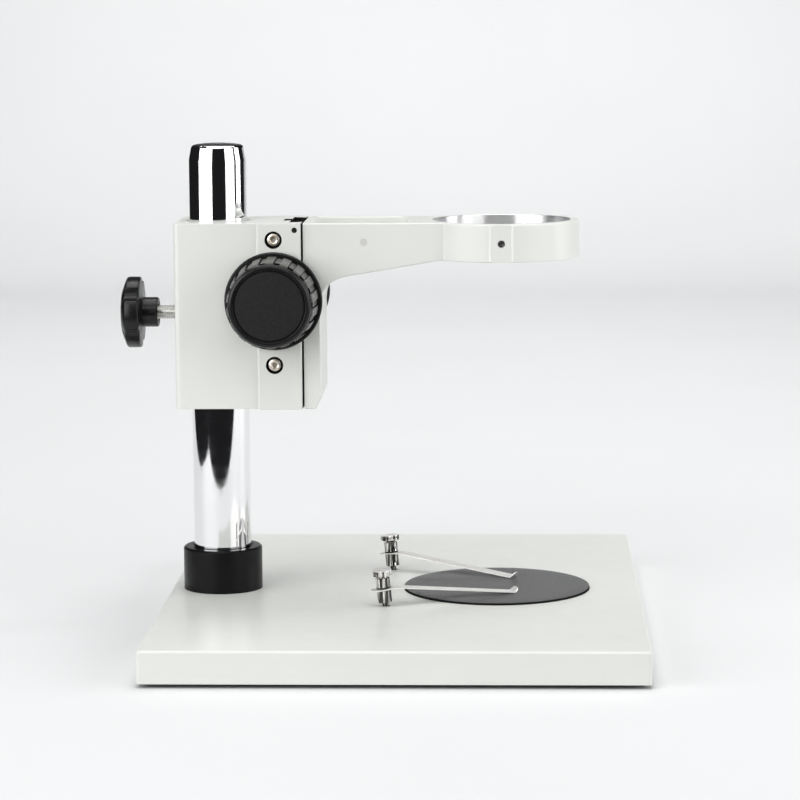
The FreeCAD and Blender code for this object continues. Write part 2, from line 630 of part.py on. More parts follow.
def build_knob(name, side):
    """Hub with a wide flange, padded grip ring, fixing screw and front cap."""
    along = "Y" if side > 0 else "-Y"
    start = f"{side} * knob_y"
    hub_profile = [("shaft_r + 0.02", "0"), ("flange_r - 0.6", "0"), ("flange_r", "0.6"),
                   ("flange_r", "flange_t - 0.6"), ("flange_r - 0.6", "flange_t"),
                   ("core_r", "flange_t"), ("core_r", "core_end"), ("6", "core_end"),
                   ("6", "web_end"), ("knob_screw_r + 0.2", "web_end"),
                   ("knob_screw_r + 0.2", "web_start"), ("shaft_r + 0.02", "web_start")]
    hub = place(turned(f"hub_{name}", hub_profile), "focus_x", start, "focus_z", along)
    node(hub, f"knob_hub_{name}")

    grip = new_body(f"grip_{name}")
    ring = sketch_on(grip, "XZ_Plane", f"grip_ring_{name}")
    add_polygon(ring, [("core_r + 0.03", "grip_start"), ("valley_back", "grip_start"),
                       ("valley_front", "grip_end"), ("core_r + 0.03", "grip_end")])
    revolve(grip, ring)
    doc.recompute()
    rib = sketch_on(grip, "XZ_Plane", f"grip_pad_{name}")
    add_polygon(rib, [("core_r + 1", "grip_start + 0.2"), ("pad_back", "grip_start + 0.2"),
                      ("pad_front", "grip_end - 0.3"), ("core_r + 1", "grip_end - 0.3")])
    raised = revolve(grip, rib)
    bind(raised, Angle="pad_angle")
    doc.recompute()
    pattern = grip.newObject("PartDesign::PolarPattern", f"grip_round_{name}")
    pattern.Originals = [raised]
    pattern.Axis = (rib, ["V_Axis"])
    pattern.Angle = 360
    bind(pattern, Occurrences="pad_count")
    grip.Tip = pattern
    place(grip, "focus_x", start, "focus_z", along)
    node(grip, f"knob_grip_{name}")

    screw = socket_screw(f"knob_cap_screw_{name}", "knob_head_r", "2.2", "knob_screw_r", "15",
                         "focus_x", f"{side} * (knob_y + web_end + 2.25)", "focus_z",
                         "-Y" if side > 0 else "Y")
    node(screw, f"knob_screw_{name}")

    cap_profile = [("0", "core_end + 0.1"), ("core_r - 0.2", "core_end + 0.1"),
                   ("core_r - 0.2", "grip_end + 0.1"), ("rim_r", "grip_end + 0.1"),
                   ("rim_r", "rim_end - rim_bevel"), ("rim_r - rim_bevel / 2", "rim_end - 0.4"),
                   ("rim_r - rim_bevel", "rim_end"), ("disc_r + 0.2", "rim_end"),
                   ("disc_r", "disc_end"), ("0", "disc_end")]
    cap = place(turned(f"cap_{name}", cap_profile), "focus_x", start, "focus_z", along)
    node(cap, f"knob_cap_{name}")


# ---------------------------------------------------------------- clamp

def build_clamp():
    """Five-lobed hand knob on an M8 stud that pushes a brass pad against the pole liner."""
    pad_x = "pole_x - liner_out - 0.04 - pad_t"
    node(rod("clamp_disc", "pad_r", "pad_t", pad_x, "0", "clamp_z", "X"), "clamp_pad")
    stud = rod("clamp_bar", "stud_r", f"star_start + stud_in + {pad_x} - 0.02",
               f"{pad_x} - 0.02", "0", "clamp_z", "-X")
    node(stud, "clamp_stud")

    body = new_body("star_body")
    profile = sketch_on(body, "XZ_Plane", "star_profile")
    bore = "stud_r + 0.02"
    add_polygon(profile, [(bore, "0"), ("star_hub_r - 0.6", "0"), ("star_hub_r", "0.6"),
                          ("star_hub_r", "star_hub"), ("star_r - 1.5", "star_rear - 0.5"),
                          ("star_r", "star_rear + 1"), ("star_r", "star_rim"),
                          ("star_face_r", "star_face"), ("0", "star_end"), ("0", "stud_in + 0.2"),
                          (bore, "stud_in + 0.2")])
    revolve(body, profile)
    doc.recompute()
    notch = sketch_on(body, "XY_Plane", "star_notch", "star_end + 1")
    add_circle(notch, "0", "notch_at", "notch_r")
    scallop = pocket(body, notch, "star_end + 1 - star_hub + 0.5")
    repeat_round(body, scallop, notch, "notch_count")
    place(body, "-star_start", "0", "clamp_z", "-X")
    node(body, "clamp_knob")


# ---------------------------------------------------------------- arm, slide and rack

def build_arm():
    """One casting: slide block, tapering arm with a well on top, and the head ring."""
    body = new_body("arm_body")
    back = "pole_x + front_x + arm_gap"
    side = sketch_on(body, "XZ_Plane", "arm_side")
    add_polygon(side, [(back, "head_z"), ("-block_front - block_cut_x", "head_z"),
                       ("-block_front", "head_z + block_cut_z"), ("-block_front", "under_low"),
                       ("under_end", "under_high"), ("ring_x", "under_high"),
                       ("ring_x", "arm_top"), (back, "arm_top")])
    pad(body, side, "2 * arm_half", both_ways=True)
    corner_x, corner_z = -DIMENSIONS["block_front"], DIMENSIONS["under_low"]
    half, top = DIMENSIONS["arm_half"], DIMENSIONS["arm_top"]

    def across(edge, x, z):
        spot = edge.CenterOfMass
        return straight(edge) and abs(spot.x - x) < 1e-3 and abs(spot.z - z) < 1e-3

    dress(body, "Fillet", "corner_r",
          lambda edge: across(edge, corner_x, corner_z) and abs(edge.CenterOfMass.y) < 1e-3)
    dress(body, "Fillet", "block_corner",
          lambda edge: upright(edge) and abs(edge.CenterOfMass.x - corner_x) < 1e-3
          and edge.CenterOfMass.z < corner_z)

    dress(body, "Chamfer", "arm_edge * 0.6",
          lambda edge: at_height(edge, top) and abs(abs(edge.CenterOfMass.y) - half) < 1e-3)

    well = sketch_on(body, "XY_Plane", "arm_well", "arm_top")
    add_rectangle(well, "well_start", "-well_half", "well_end", "well_half")
    pocket(body, well, "arm_top - well_floor")

    def well_edge(edge, x):
        spot = edge.CenterOfMass
        side_wall = abs(abs(spot.y) - DIMENSIONS["well_half"]) < 1e-3
        return upright(edge) and side_wall and abs(spot.x - DIMENSIONS[x]) < 0.1

    dress(body, "Fillet", "well_corner", lambda edge: well_edge(edge, "well_end"))
    dress(body, "Fillet", "well_back", lambda edge: well_edge(edge, "well_start"))
    thick = "arm_top - under_high"
    band = turned("ring_band", [("ring_in - 1", "0"), ("ring_out", "0"),
                                ("ring_out", f"{thick} - 0.6 * arm_edge"),
                                ("ring_out - 0.6 * arm_edge", thick), ("ring_in - 1", thick)])
    place(band, "ring_x", "0", "under_high")
    tools = [
        rod("ring_bore", "ring_in", f"{thick} + 2", "ring_x", "0", "under_high - 1"),
        box("ring_facet", "24", "2", f"{thick} + 2", "ring_x - 12", "-ring_flat - 2",
            "under_high - 1"),
        rod("plug_tap", "plug_r", "8", "plug_x", "-arm_half - 1", "plug_z", "Y"),
        rod("ring_tap", "ring_screw_r", "10", "ring_x", "-ring_out - 1", "ring_screw_z", "Y"),
    ]
    for i, (side_y, height) in enumerate(SLIDE_SCREW_SPOTS):
        tools.append(rod(f"arm_tap_{i}", "2.02", "10", f"{back} - 1", f"{side_y} * slide_screw_y",
                         height, "X"))
    node(carve("arm_cut", join("arm_whole", [body, band]), tools), "arm_casting")
    node(rod("plug_body", "plug_r - 0.02", "4.5", "plug_x", "0.3 - arm_half", "plug_z", "Y"),
         "arm_plug")
    screw = grub_screw("ring_grub", "ring_screw_r - 0.05", "3.8", "ring_x", "0.5 - ring_flat",
                       "ring_screw_z", "Y")
    node(screw, "ring_set_screw")


SLIDE_SCREW_SPOTS = [(side, height) for side in (-1, 1) for height in ("140", "203")]


RACK_SCREW_HEIGHTS = ["rack_low + 3.2", "rack_top - 2.9"]


def build_slide():
    """Male dovetail bolted to the arm, with the rack let into its back."""
    rear = "groove_depth - slide_back"
    gap, gib = "slide_gap", "gib_y + 0.1"
    corners = [("front_x + arm_gap", flank_y("-arm_gap", "-1", gap)),
               ("front_x + arm_gap", flank_y("-arm_gap", "1", gib)),
               (f"front_x - ({rear})", flank_y(rear, "1", gib)),
               (f"front_x - ({rear})", flank_y(rear, "-1", gap))]
    blank = prism("slide_bar", "XY_Plane", corners, "head_len - slide_drop")
    place(blank, "pole_x", "0", "head_z")
    back = "pole_x + front_x - groove_depth + slide_back"
    stop_low = "pin_z - 25 - pin_r - 0.4"
    tools = [
        box("rack_slot", "10", "2 * rack_half + 0.06", "head_len", "-rack_back - 10",
            "-rack_half - 0.03", "head_z - 1"),
        box("stop_slot", "2 * pin_r + 0.8", "4.2", "60", "pin_x - pin_r - 0.4", "-21.4", stop_low),
    ]
    for i, (side_y, height) in enumerate(SLIDE_SCREW_SPOTS):
        y = f"{side_y} * slide_screw_y"
        tools.append(rod(f"slide_seat_{i}", "3.7", "4", f"{back} - 1", y, height, "X"))
        tools.append(rod(f"slide_way_{i}", "2.2", "12", f"{back} - 1", y, height, "X"))
    for i, height in enumerate(RACK_SCREW_HEIGHTS):
        tools.append(rod(f"slide_tap_{i}", "1.02", "10", f"{back} - 1", "0", height, "X"))
    node(carve("slide_cut", blank, tools), "dovetail_slide")
    screws = []
    for i, (side_y, height) in enumerate(SLIDE_SCREW_SPOTS):
        screws.append(socket_screw(f"slide_cap_{i}", "3.5", "2.6", "2", "12", f"{back} + 0.35",
                                   f"{side_y} * slide_screw_y", height, "X"))
    node(group("slide_screw_set", screws), "slide_screws")


def build_rack():
    """Straight rack whose middle tooth sits in the gap of the pinion that faces it."""
    body = new_body("rack_body")
    pitch_line = "(-focus_x - tooth_module * tooth_count / 2)"
    tip_x = f"(-{pitch_line} - tooth_module)"
    outline = sketch_on(body, "XZ_Plane", "rack_outline")
    add_rectangle(outline, tip_x, "rack_low", "-rack_back", "rack_top")
    pad(body, outline, "2 * rack_half", both_ways=True)
    pitch = "(pi * tooth_module)"
    lowest = f"(focus_z - (rack_teeth / 2 - 0.5) * {pitch})"
    tip_half = f"({pitch} / 4 + tooth_module * 0.364 + tooth_slack)"
    root_half = f"({pitch} / 4 - tooth_module * 1.25 * 0.364 + tooth_slack)"
    flare = "0.2"
    mouth = f"({tip_half} + {flare} * 0.364)"
    gap = sketch_on(body, "XZ_Plane", "rack_gap")
    floor_x = f"({tip_x} + 2.25 * tooth_module)"
    add_polygon(gap, [(f"{tip_x} - {flare}", f"{lowest} - {mouth}"),
                      (floor_x, f"{lowest} - {root_half}"), (floor_x, f"{lowest} + {root_half}"),
                      (f"{tip_x} - {flare}", f"{lowest} + {mouth}")])
    space = pocket(body, gap, "2 * rack_half + 2", both_ways=True)
    teeth = body.newObject("PartDesign::LinearPattern", "rack_row")
    teeth.Originals = [space]
    teeth.Direction = (gap, ["V_Axis"])
    bind(teeth, Length=f"(rack_teeth - 1) * {pitch}", Occurrences="rack_teeth")
    body.Tip = teeth
    doc.recompute()
    tools, screws = [], []
    for i, height in enumerate(RACK_SCREW_HEIGHTS):
        tools.append(rod(f"rack_seat_{i}", "1.9", "1.6", f"{tip_x} - 0.1", "0", height, "X"))
        tools.append(rod(f"rack_way_{i}", "1.05", "12", f"{tip_x} - 0.1", "0", height, "X"))
        screws.append(socket_screw(f"rack_cap_{i}", "1.8", "1.3", "1", "5.2", f"{tip_x} + 0.15",
                                   "0", height, "X"))
    node(carve("rack_cut", body, tools), "rack")
    node(group("rack_screw_set", screws), "rack_screws")


# ---------------------------------------------------------------- stage clips

def build_clip(name, side):
    """Post with a pin in the base, a leaf spring strip and a thumb screw that holds it.

    The pin is loose in its hole, so the spring's push leans the clip back from the strip.
    """
    ahead = ("cos(strip_turn)", f"({-side}) * sin(strip_turn)")
    angle = -side * DIMENSIONS["strip_turn"]
    heading = Rotation(Vector(0, 0, 1), angle)
    lean = Rotation(heading.multVec(Vector(0, 1, 0)), -DIMENSIONS["clip_lean"])
    back = "sin(clip_lean) * clip_pin_in / 2"
    x = f"clip_x - {ahead[0]} * {back}"
    y = f"({side}) * clip_y - {ahead[1]} * {back}"
    top = "foot_gap + base_t - (1 - cos(clip_lean)) * clip_pin_in / 2"
    post_profile = [("0", "-clip_pin_in"), ("clip_pin_r", "-clip_pin_in"), ("clip_pin_r", "clip_low"),
                    ("clip_post_r - 0.5", "clip_low"), ("clip_post_r", "clip_low + 0.5"),
                    ("clip_post_r", "clip_mid - 0.3"), ("clip_post_r - 0.3", "clip_mid"),
                    ("clip_stud_r + 0.05", "clip_mid"), ("clip_stud_r + 0.05", "clip_low + 1"),
                    ("0", "clip_low + 1")]
    post = place(turned(f"post_{name}", post_profile), x, y, top, turn=lean)
    node(post, f"clip_post_{name}")

    strip_z = "clip_mid + strip_gap"
    spine = [("-strip_tail", strip_z), ("strip_bend", strip_z), ("strip_touch", "strip_low"),
             ("strip_end", "strip_curl")]
    upper = [(x, f"{z} + strip_t") for x, z in reversed(spine)]
    bent = prism(f"leaf_bend_{name}", "XZ_Plane", spine + upper, "strip_w + 2", both_ways=True)
    wide, narrow = "strip_w / 2", "strip_tip_w / 2"
    plan = prism(f"leaf_plan_{name}", "XY_Plane",
                 [("-strip_tail", f"-{wide}"), ("strip_end - 0.01", f"-{narrow}"),
                  ("strip_end - 0.01", narrow), ("-strip_tail", wide)], "2 * clip_mid + 6",
                 both_ways=True)
    dress(plan, "Fillet", "strip_w * 0.3", upright)
    shaped = doc.addObject("Part::Common", f"leaf_shape_{name}")
    shaped.Base = bent
    shaped.Tool = plan
    leaf = carve(f"leaf_{name}", shaped, [rod(f"leaf_hole_{name}", "clip_stud_r + 0.15",
                                              "clip_mid + 3")])
    place(leaf, x, y, top, turn=lean.multiply(heading))
    node(leaf, f"clip_strip_{name}")

    under = "clip_mid + 2 * strip_gap + strip_t"
    screw_profile = [("0", "clip_low + 1.5"), ("clip_stud_r", "clip_low + 1.5"),
                     ("clip_stud_r", under), ("clip_post_r - 0.3", under),
                     ("clip_post_r", f"{under} + 0.3"), ("clip_post_r", "clip_upper - 0.5"),
                     ("clip_post_r - 0.5", "clip_upper"), ("clip_neck_r", "clip_upper"),
                     ("clip_neck_r", "clip_head_low"), ("clip_head_r - 0.4", "clip_head_low"),
                     ("clip_head_r", "clip_head_low + 0.4"), ("clip_head_r", "clip_head_top - 0.4"),
                     ("clip_head_r - 0.4", "clip_head_top"), ("0", "clip_head_top")]
    screw = place(turned(f"thumb_{name}", screw_profile), x, y, top, turn=lean)
    node(screw, f"clip_screw_{name}")


# ---------------------------------------------------------------- build, check, write

def check_and_write():
    doc.recompute()
    for thing in doc.Objects:
        if "Invalid" in thing.State or "Error" in thing.State:
            raise RuntimeError(f"{thing.Label} failed: {thing.State}")
    for thing in nodes:
        if thing.Shape.isNull() or not thing.Shape.isValid() or not thing.Shape.Solids:
            raise RuntimeError("bad shape: " + thing.Label)
    os.makedirs("parts", exist_ok=True)
    whole = FreeCAD.BoundBox()
    for thing in nodes:
        thing.Shape.exportStep(f"parts/{thing.Label}.step")
        whole.add(thing.Shape.BoundBox)
        size = thing.Shape.BoundBox
        print(f"{thing.Label:20s} solids {len(thing.Shape.Solids)} volume {thing.Shape.Volume:11.1f}"
              f"  x {size.XMin:8.2f} {size.XMax:8.2f}  y {size.YMin:8.2f} {size.YMax:8.2f}"
              f"  z {size.ZMin:7.2f} {size.ZMax:7.2f}")
    print("whole", whole)


build_base()
build_stage_plate()
build_feet()
build_pole()
build_collar()
build_pole_bolt()
build_housing()
build_liner()
build_gib()
build_side_screws()
build_carrier()
build_pinion()
for side_name, side_sign in SIDES.items():
    build_knob(side_name, side_sign)
build_clamp()
build_arm()
build_slide()
build_rack()
for side_name, side_sign in SIDES.items():
    build_clip(side_name, side_sign)
check_and_write()
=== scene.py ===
"""Looks for the pole stand: finely shaped pieces, materials, floor, lights and camera.

The scene is in metres: +Z up, +X from the pole to the head ring, -Y towards the camera.
Shaping sizes, such as radii, outlines and bevels, are in millimetres.
"""
import bpy
import bmesh
import json
import math
from mathutils import Matrix, Vector


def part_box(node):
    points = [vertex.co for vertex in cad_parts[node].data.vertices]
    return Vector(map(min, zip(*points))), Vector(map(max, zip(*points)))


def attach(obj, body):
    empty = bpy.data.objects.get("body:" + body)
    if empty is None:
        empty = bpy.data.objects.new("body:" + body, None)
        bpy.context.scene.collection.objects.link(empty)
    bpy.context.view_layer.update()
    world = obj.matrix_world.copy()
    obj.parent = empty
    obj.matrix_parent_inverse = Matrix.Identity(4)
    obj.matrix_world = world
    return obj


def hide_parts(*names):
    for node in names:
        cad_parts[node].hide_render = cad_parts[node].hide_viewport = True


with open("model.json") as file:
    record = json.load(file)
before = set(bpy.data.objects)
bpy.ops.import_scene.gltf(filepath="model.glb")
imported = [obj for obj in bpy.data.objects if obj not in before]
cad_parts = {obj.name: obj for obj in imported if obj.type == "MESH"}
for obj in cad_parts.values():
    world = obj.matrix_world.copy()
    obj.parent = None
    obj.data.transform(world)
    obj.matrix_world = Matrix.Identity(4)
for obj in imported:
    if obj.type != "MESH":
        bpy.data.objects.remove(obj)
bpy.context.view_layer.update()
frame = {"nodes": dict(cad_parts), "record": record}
nodes = frame["nodes"]
record = frame["record"]
MM = 0.001
TAU = 2 * math.pi
SAME = 1e-3  # mm; places nearer than this count as one
body_of = {n: body for body, members in record["behaviour"]["bodies"].items() for n in members}
slot_of = {entry["node"]: entry["material_slot"] for entry in record["subparts"]}


def low(node):
    """A CAD node's least corner."""
    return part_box(node)[0]


def high(node):
    """A CAD node's greatest corner."""
    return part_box(node)[1]


def middle(node):
    """The middle of a CAD node's box."""
    return (low(node) + high(node)) / 2


def width(node, axis):
    """The size of a CAD node's box along an axis, 0 to 2, in mm."""
    return (high(node)[axis] - low(node)[axis]) / MM


# ---------------------------------------------------------------- node materials

def shader(name):
    """A new material, its node tree and its principled shader."""
    mat = bpy.data.materials.new(name)
    mat.use_nodes = True
    tree = mat.node_tree
    tree.nodes.clear()
    out = tree.nodes.new("ShaderNodeOutputMaterial")
    principled = tree.nodes.new("ShaderNodeBsdfPrincipled")
    tree.links.new(principled.outputs[0], out.inputs["Surface"])
    return mat, tree, principled


def add(tree, kind, inputs=None, **settings):
    """A node with its settings; inputs are numbers or sockets by input name or index."""
    made = tree.nodes.new(kind)
    for key, value in settings.items():
        setattr(made, key, value)
    for key, value in (inputs or {}).items():
        if isinstance(value, bpy.types.NodeSocket):
            tree.links.new(value, made.inputs[key])
        else:
            made.inputs[key].default_value = value
    return made


def place_of(tree, stretch):
    """Coordinates in metres on the piece, stretched along its axes."""
    coords = add(tree, "ShaderNodeTexCoord").outputs["Object"]
    return add(tree, "ShaderNodeMapping", {"Vector": coords, "Scale": stretch}).outputs[0]


def split_place(tree):
    """The x, y and z of a place on the piece, in metres."""
    coords = add(tree, "ShaderNodeTexCoord").outputs["Object"]
    return add(tree, "ShaderNodeSeparateXYZ", {"Vector": coords}).outputs


def noise(tree, scale, detail=3.0, rough=0.55, stretch=(1, 1, 1)):
    """A soft random value, about 0.3 to 0.7, with scale features to the metre."""
    return add(tree, "ShaderNodeTexNoise", {"Vector": place_of(tree, stretch), "Scale": scale,
                                            "Detail": detail, "Roughness": rough}).outputs["Fac"]


def spread(tree, value, low_out, high_out, low_in=0.3, high_in=0.7):
    """A texture value mapped to a range."""
    return add(tree, "ShaderNodeMapRange", {"Value": value, "From Min": low_in, "From Max": high_in,
                                            "To Min": low_out, "To Max": high_out}).outputs[0]


# Sockets of a Mix node that is set to colours.
MIX_FACTOR, MIX_A, MIX_B, MIX_RESULT = 0, 6, 7, 2


def blend_colours(tree, factor, first, second):
    """A colour between two fixed colours."""
    inputs = {MIX_FACTOR: factor, MIX_A: (*first, 1), MIX_B: (*second, 1)}
    return add(tree, "ShaderNodeMix", inputs, data_type="RGBA").outputs[MIX_RESULT]


def calc(tree, operation, first, second=0.0):
    """One step of arithmetic."""
    return add(tree, "ShaderNodeMath", {0: first, 1: second}, operation=operation).outputs[0]


def relief(tree, height, distance, normal=None):
    """A bump of a depth in metres, over another bump if given."""
    inputs = {"Height": height, "Distance": distance, "Strength": 1.0}
    if normal is not None:
        inputs["Normal"] = normal
    return add(tree, "ShaderNodeBump", inputs).outputs[0]


def surface(name, colour, second, rough, metallic=0.0, mottle=40.0, grain=3000.0,
            grain_depth=0.00002, streak=None, streak_depth=0.00001, coat=0.0, sheen=0.0,
            specular=0.5):
    """A finish with cloudy colour, varied gloss, fine grain, and turning or brushing lines."""
    mat, tree, out = shader(name)
    clouds = noise(tree, mottle, 4)
    shade = blend_colours(tree, spread(tree, clouds, 0, 1), colour, second)
    tree.links.new(shade, out.inputs["Base Color"])
    blotch = noise(tree, mottle * 6, 5)
    tree.links.new(spread(tree, blotch, rough[0], rough[1]), out.inputs["Roughness"])
    bump = relief(tree, noise(tree, grain, 2), grain_depth)
    if streak is not None:
        lines = noise(tree, 1.0, 4, 0.7, streak)
        bump = relief(tree, lines, streak_depth, bump)
    tree.links.new(bump, out.inputs["Normal"])
    out.inputs["Metallic"].default_value = metallic
    out.inputs["Coat Weight"].default_value = coat
    out.inputs["Coat Roughness"].default_value = 0.12
    out.inputs["Sheen Weight"].default_value = sheen
    out.inputs["Specular IOR Level"].default_value = specular
    return mat


def overlay(mat, mask, shader_socket):
    """Shows another shader where the mask is 1."""
    tree = mat.node_tree
    surface_in = next(n for n in tree.nodes if n.type == "OUTPUT_MATERIAL").inputs["Surface"]
    first = surface_in.links[0].from_socket
    mix = add(tree, "ShaderNodeMixShader", {0: mask, 1: first, 2: shader_socket})
    tree.links.new(mix.outputs[0], surface_in)


def bare_bore(mat, centre, radius, z_low, z_high):
    """Shows turned metal inside an upright cylinder of the piece, in metres."""
    tree = mat.node_tree
    x, y, z = split_place(tree)
    across = calc(tree, "SUBTRACT", x, centre.x)
    along = calc(tree, "SUBTRACT", y, centre.y)
    reach = calc(tree, "SQRT", calc(tree, "ADD", calc(tree, "MULTIPLY", across, across),
                                    calc(tree, "MULTIPLY", along, along)))
    mask = calc(tree, "LESS_THAN", reach, radius)
    mask = calc(tree, "MULTIPLY", mask, calc(tree, "GREATER_THAN", z, z_low))
    mask = calc(tree, "MULTIPLY", mask, calc(tree, "LESS_THAN", z, z_high))
    overlay(mat, mask, turned_metal(tree))


def turned_metal(tree):
    """Bare metal with fine turning rings up its height, as a shader in a material."""
    bare = add(tree, "ShaderNodeBsdfPrincipled")
    rings = noise(tree, 1.0, 5, 0.75, (6, 6, 5200))
    chatter = noise(tree, 1.0, 4, 0.7, (900, 900, 5))
    clouds = noise(tree, 60, 3)
    colour = blend_colours(tree, spread(tree, clouds, 0, 1), (0.86, 0.86, 0.86),
                           (0.76, 0.76, 0.77))
    tree.links.new(colour, bare.inputs["Base Color"])
    tree.links.new(spread(tree, rings, 0.26, 0.34), bare.inputs["Roughness"])
    bump = relief(tree, chatter, 0.000009, relief(tree, rings, 0.0000015))
    tree.links.new(bump, bare.inputs["Normal"])
    upright = add(tree, "ShaderNodeCombineXYZ", {"Z": 1.0})
    tree.links.new(upright.outputs[0], bare.inputs["Tangent"])
    bare.inputs["Anisotropic"].default_value = 0.93
    bare.inputs["Metallic"].default_value = 1.0
    return bare.outputs[0]


PAINT_A, PAINT_B = (0.720, 0.735, 0.700), (0.700, 0.715, 0.682)


def paint(name, gain=1.0):
    """Satin powder coat, lighter or darker by the gain: faint orange peel and fine grain."""
    mat, tree, out = shader(name)
    clouds = noise(tree, 18, 3)
    first, second = (tuple(v * gain for v in colour) for colour in (PAINT_A, PAINT_B))
    colour = blend_colours(tree, spread(tree, clouds, 0, 1), first, second)
    tree.links.new(colour, out.inputs["Base Color"])
    tree.links.new(spread(tree, noise(tree, 90, 4), 0.34, 0.44), out.inputs["Roughness"])
    peel = relief(tree, noise(tree, 520, 2), 0.00003)
    tree.links.new(relief(tree, noise(tree, 2600, 2), 0.000012, peel), out.inputs["Normal"])
    out.inputs["Coat Weight"].default_value = 0.15
    out.inputs["Coat Roughness"].default_value = 0.25
    return mat


finish = {
    "base_paint": paint("base_paint", 0.94),
    "head_paint": paint("head_paint"),
    "arm_paint": paint("arm_paint"),
    "stage_top": surface("stage_top", (0.052, 0.052, 0.053), (0.062, 0.062, 0.063), (0.36, 0.46),
                         mottle=90, grain=2600, grain_depth=0.00006, sheen=0.05),
    "rubber": surface("rubber", (0.018, 0.018, 0.018), (0.030, 0.030, 0.030), (0.62, 0.8),
                      grain=1800, grain_depth=0.00005, sheen=0.1),
    "pole_chrome": surface("pole_chrome", (0.90, 0.90, 0.905), (0.86, 0.86, 0.87), (0.03, 0.08),
                           metallic=1.0, mottle=25, grain=900, grain_depth=0.0000008,
                           streak=(420, 420, 5), streak_depth=0.000012),
    "black_metal": surface("black_metal", (0.0035, 0.0035, 0.004), (0.0045, 0.0045, 0.005),
                           (0.30, 0.34), mottle=30, specular=0.15, grain=400,
                           grain_depth=0.0000002),
    "black_steel": surface("black_steel", (0.020, 0.019, 0.019), (0.035, 0.033, 0.031), (0.35, 0.5),
                           metallic=0.6, mottle=300),
    "zinc_steel": surface("zinc_steel", (0.78, 0.78, 0.76), (0.64, 0.63, 0.60), (0.20, 0.32),
                          metallic=1.0, mottle=300, grain=2400, grain_depth=0.00001),
    "ground_steel": surface("ground_steel", (0.50, 0.50, 0.50), (0.42, 0.42, 0.42), (0.22, 0.35),
                            metallic=1.0, mottle=120, streak=(3, 900, 3), streak_depth=0.000008),
    "brass": surface("brass", (0.72, 0.53, 0.24), (0.60, 0.42, 0.18), (0.22, 0.38), metallic=1.0,
                     mottle=80, streak=(4, 1500, 4), streak_depth=0.000008),
    "bronze": surface("bronze", (0.52, 0.34, 0.17), (0.42, 0.27, 0.13), (0.26, 0.42), metallic=1.0,
                      mottle=120, streak=(4, 4, 1500), streak_depth=0.000008),
    "nickel": surface("nickel", (0.78, 0.765, 0.74), (0.68, 0.66, 0.63), (0.05, 0.13), metallic=1.0,
                      mottle=260, grain=1800, grain_depth=0.000003,
                      streak=(30, 30, 6000), streak_depth=0.000003),
    "knob_black": surface("knob_black", (0.005, 0.005, 0.0055), (0.008, 0.008, 0.0085),
                          (0.26, 0.36), mottle=70, grain=2200, grain_depth=0.000006, coat=0.05,
                          specular=0.3),
    "knob_satin": surface("knob_satin", (0.003, 0.003, 0.0032), (0.010, 0.010, 0.0095),
                          (0.50, 0.66), mottle=620, grain=1300, grain_depth=0.00009,
                          specular=0.3),
    "grip_grey": surface("grip_grey", (0.085, 0.085, 0.080), (0.125, 0.124, 0.118), (0.32, 0.46),
                         mottle=220, grain=1700, grain_depth=0.00003),
    "plug_grey": surface("plug_grey", (0.64, 0.64, 0.62), (0.56, 0.56, 0.54), (0.35, 0.45),
                         mottle=300),
}
for node_name, thing in nodes.items():
    thing.data.materials.clear()
    thing.data.materials.append(finish[slot_of[node_name]])


# ---------------------------------------------------------------- shaping helpers

AXES = {
    "Z": Matrix.Identity(3),
    "X": Matrix.Rotation(math.pi / 2, 3, "Y"),
    "-X": Matrix.Rotation(-math.pi / 2, 3, "Y"),
    "Y": Matrix.Rotation(-math.pi / 2, 3, "X"),
    "-Y": Matrix.Rotation(math.pi / 2, 3, "X"),
}


def soften(profile, radius, steps, closed=False):
    """Rounds an outline's corners; a corner's third value is its own rounding."""
    straight = 1.55  # half the angle at a corner that hardly turns, in radians
    count = len(profile)
    result = []
    for i, corner in enumerate(profile):
        spot = Vector(corner[:2])
        size = corner[2] if len(corner) > 2 else radius
        if not closed and i in (0, count - 1) or size <= 0:
            result.append(tuple(spot))
            continue
        before = Vector(profile[i - 1][:2]) - spot
        after = Vector(profile[(i + 1) % count][:2]) - spot
        room = min(before.length, after.length) * 0.49
        half = before.angle(after) / 2
        back = min(size / max(math.tan(half), 1e-6), room)
        if back < 1e-4 or half > straight:
            result.append(tuple(spot))
            continue
        first, last = spot + before.normalized() * back, spot + after.normalized() * back
        for step in range(steps + 1):
            share = step / steps
            result.append(tuple(first * (1 - share) ** 2 + spot * 2 * share * (1 - share)
                                + last * share ** 2))
    return result


def spin(bm, profile, at, along, segments, radius_at=None):
    """Adds a turned form: (radius, height) from the point at, which is in metres."""
    turn = AXES[along]
    rings = []
    for r, h in profile:
        if r < 1e-6:
            rings.append([bm.verts.new(at + turn @ Vector((0, 0, h * MM)))])
            continue
        ring = []
        for i in range(segments):
            angle = TAU * i / segments
            reach = radius_at(angle, r, h) if radius_at else r
            spot = Vector((reach * math.cos(angle) * MM, reach * math.sin(angle) * MM, h * MM))
            ring.append(bm.verts.new(at + turn @ spot))
        rings.append(ring)
    for first, second in zip(rings, rings[1:]):
        for i in range(segments):
            j = (i + 1) % segments
            corners = [first[i % len(first)], first[j % len(first)],
                       second[j % len(second)], second[i % len(second)]]
            unique = list(dict.fromkeys(corners))
            if len(unique) > 2:
                bm.faces.new(unique)
    return rings


def close_ring(bm, rings):
    """Joins the last ring of a tube to its first, so that the wall is closed."""
    first, second = rings[-1], rings[0]
    for i in range(len(first)):
        j = (i + 1) % len(first)
        bm.faces.new([first[i], first[j], second[j], second[i]])


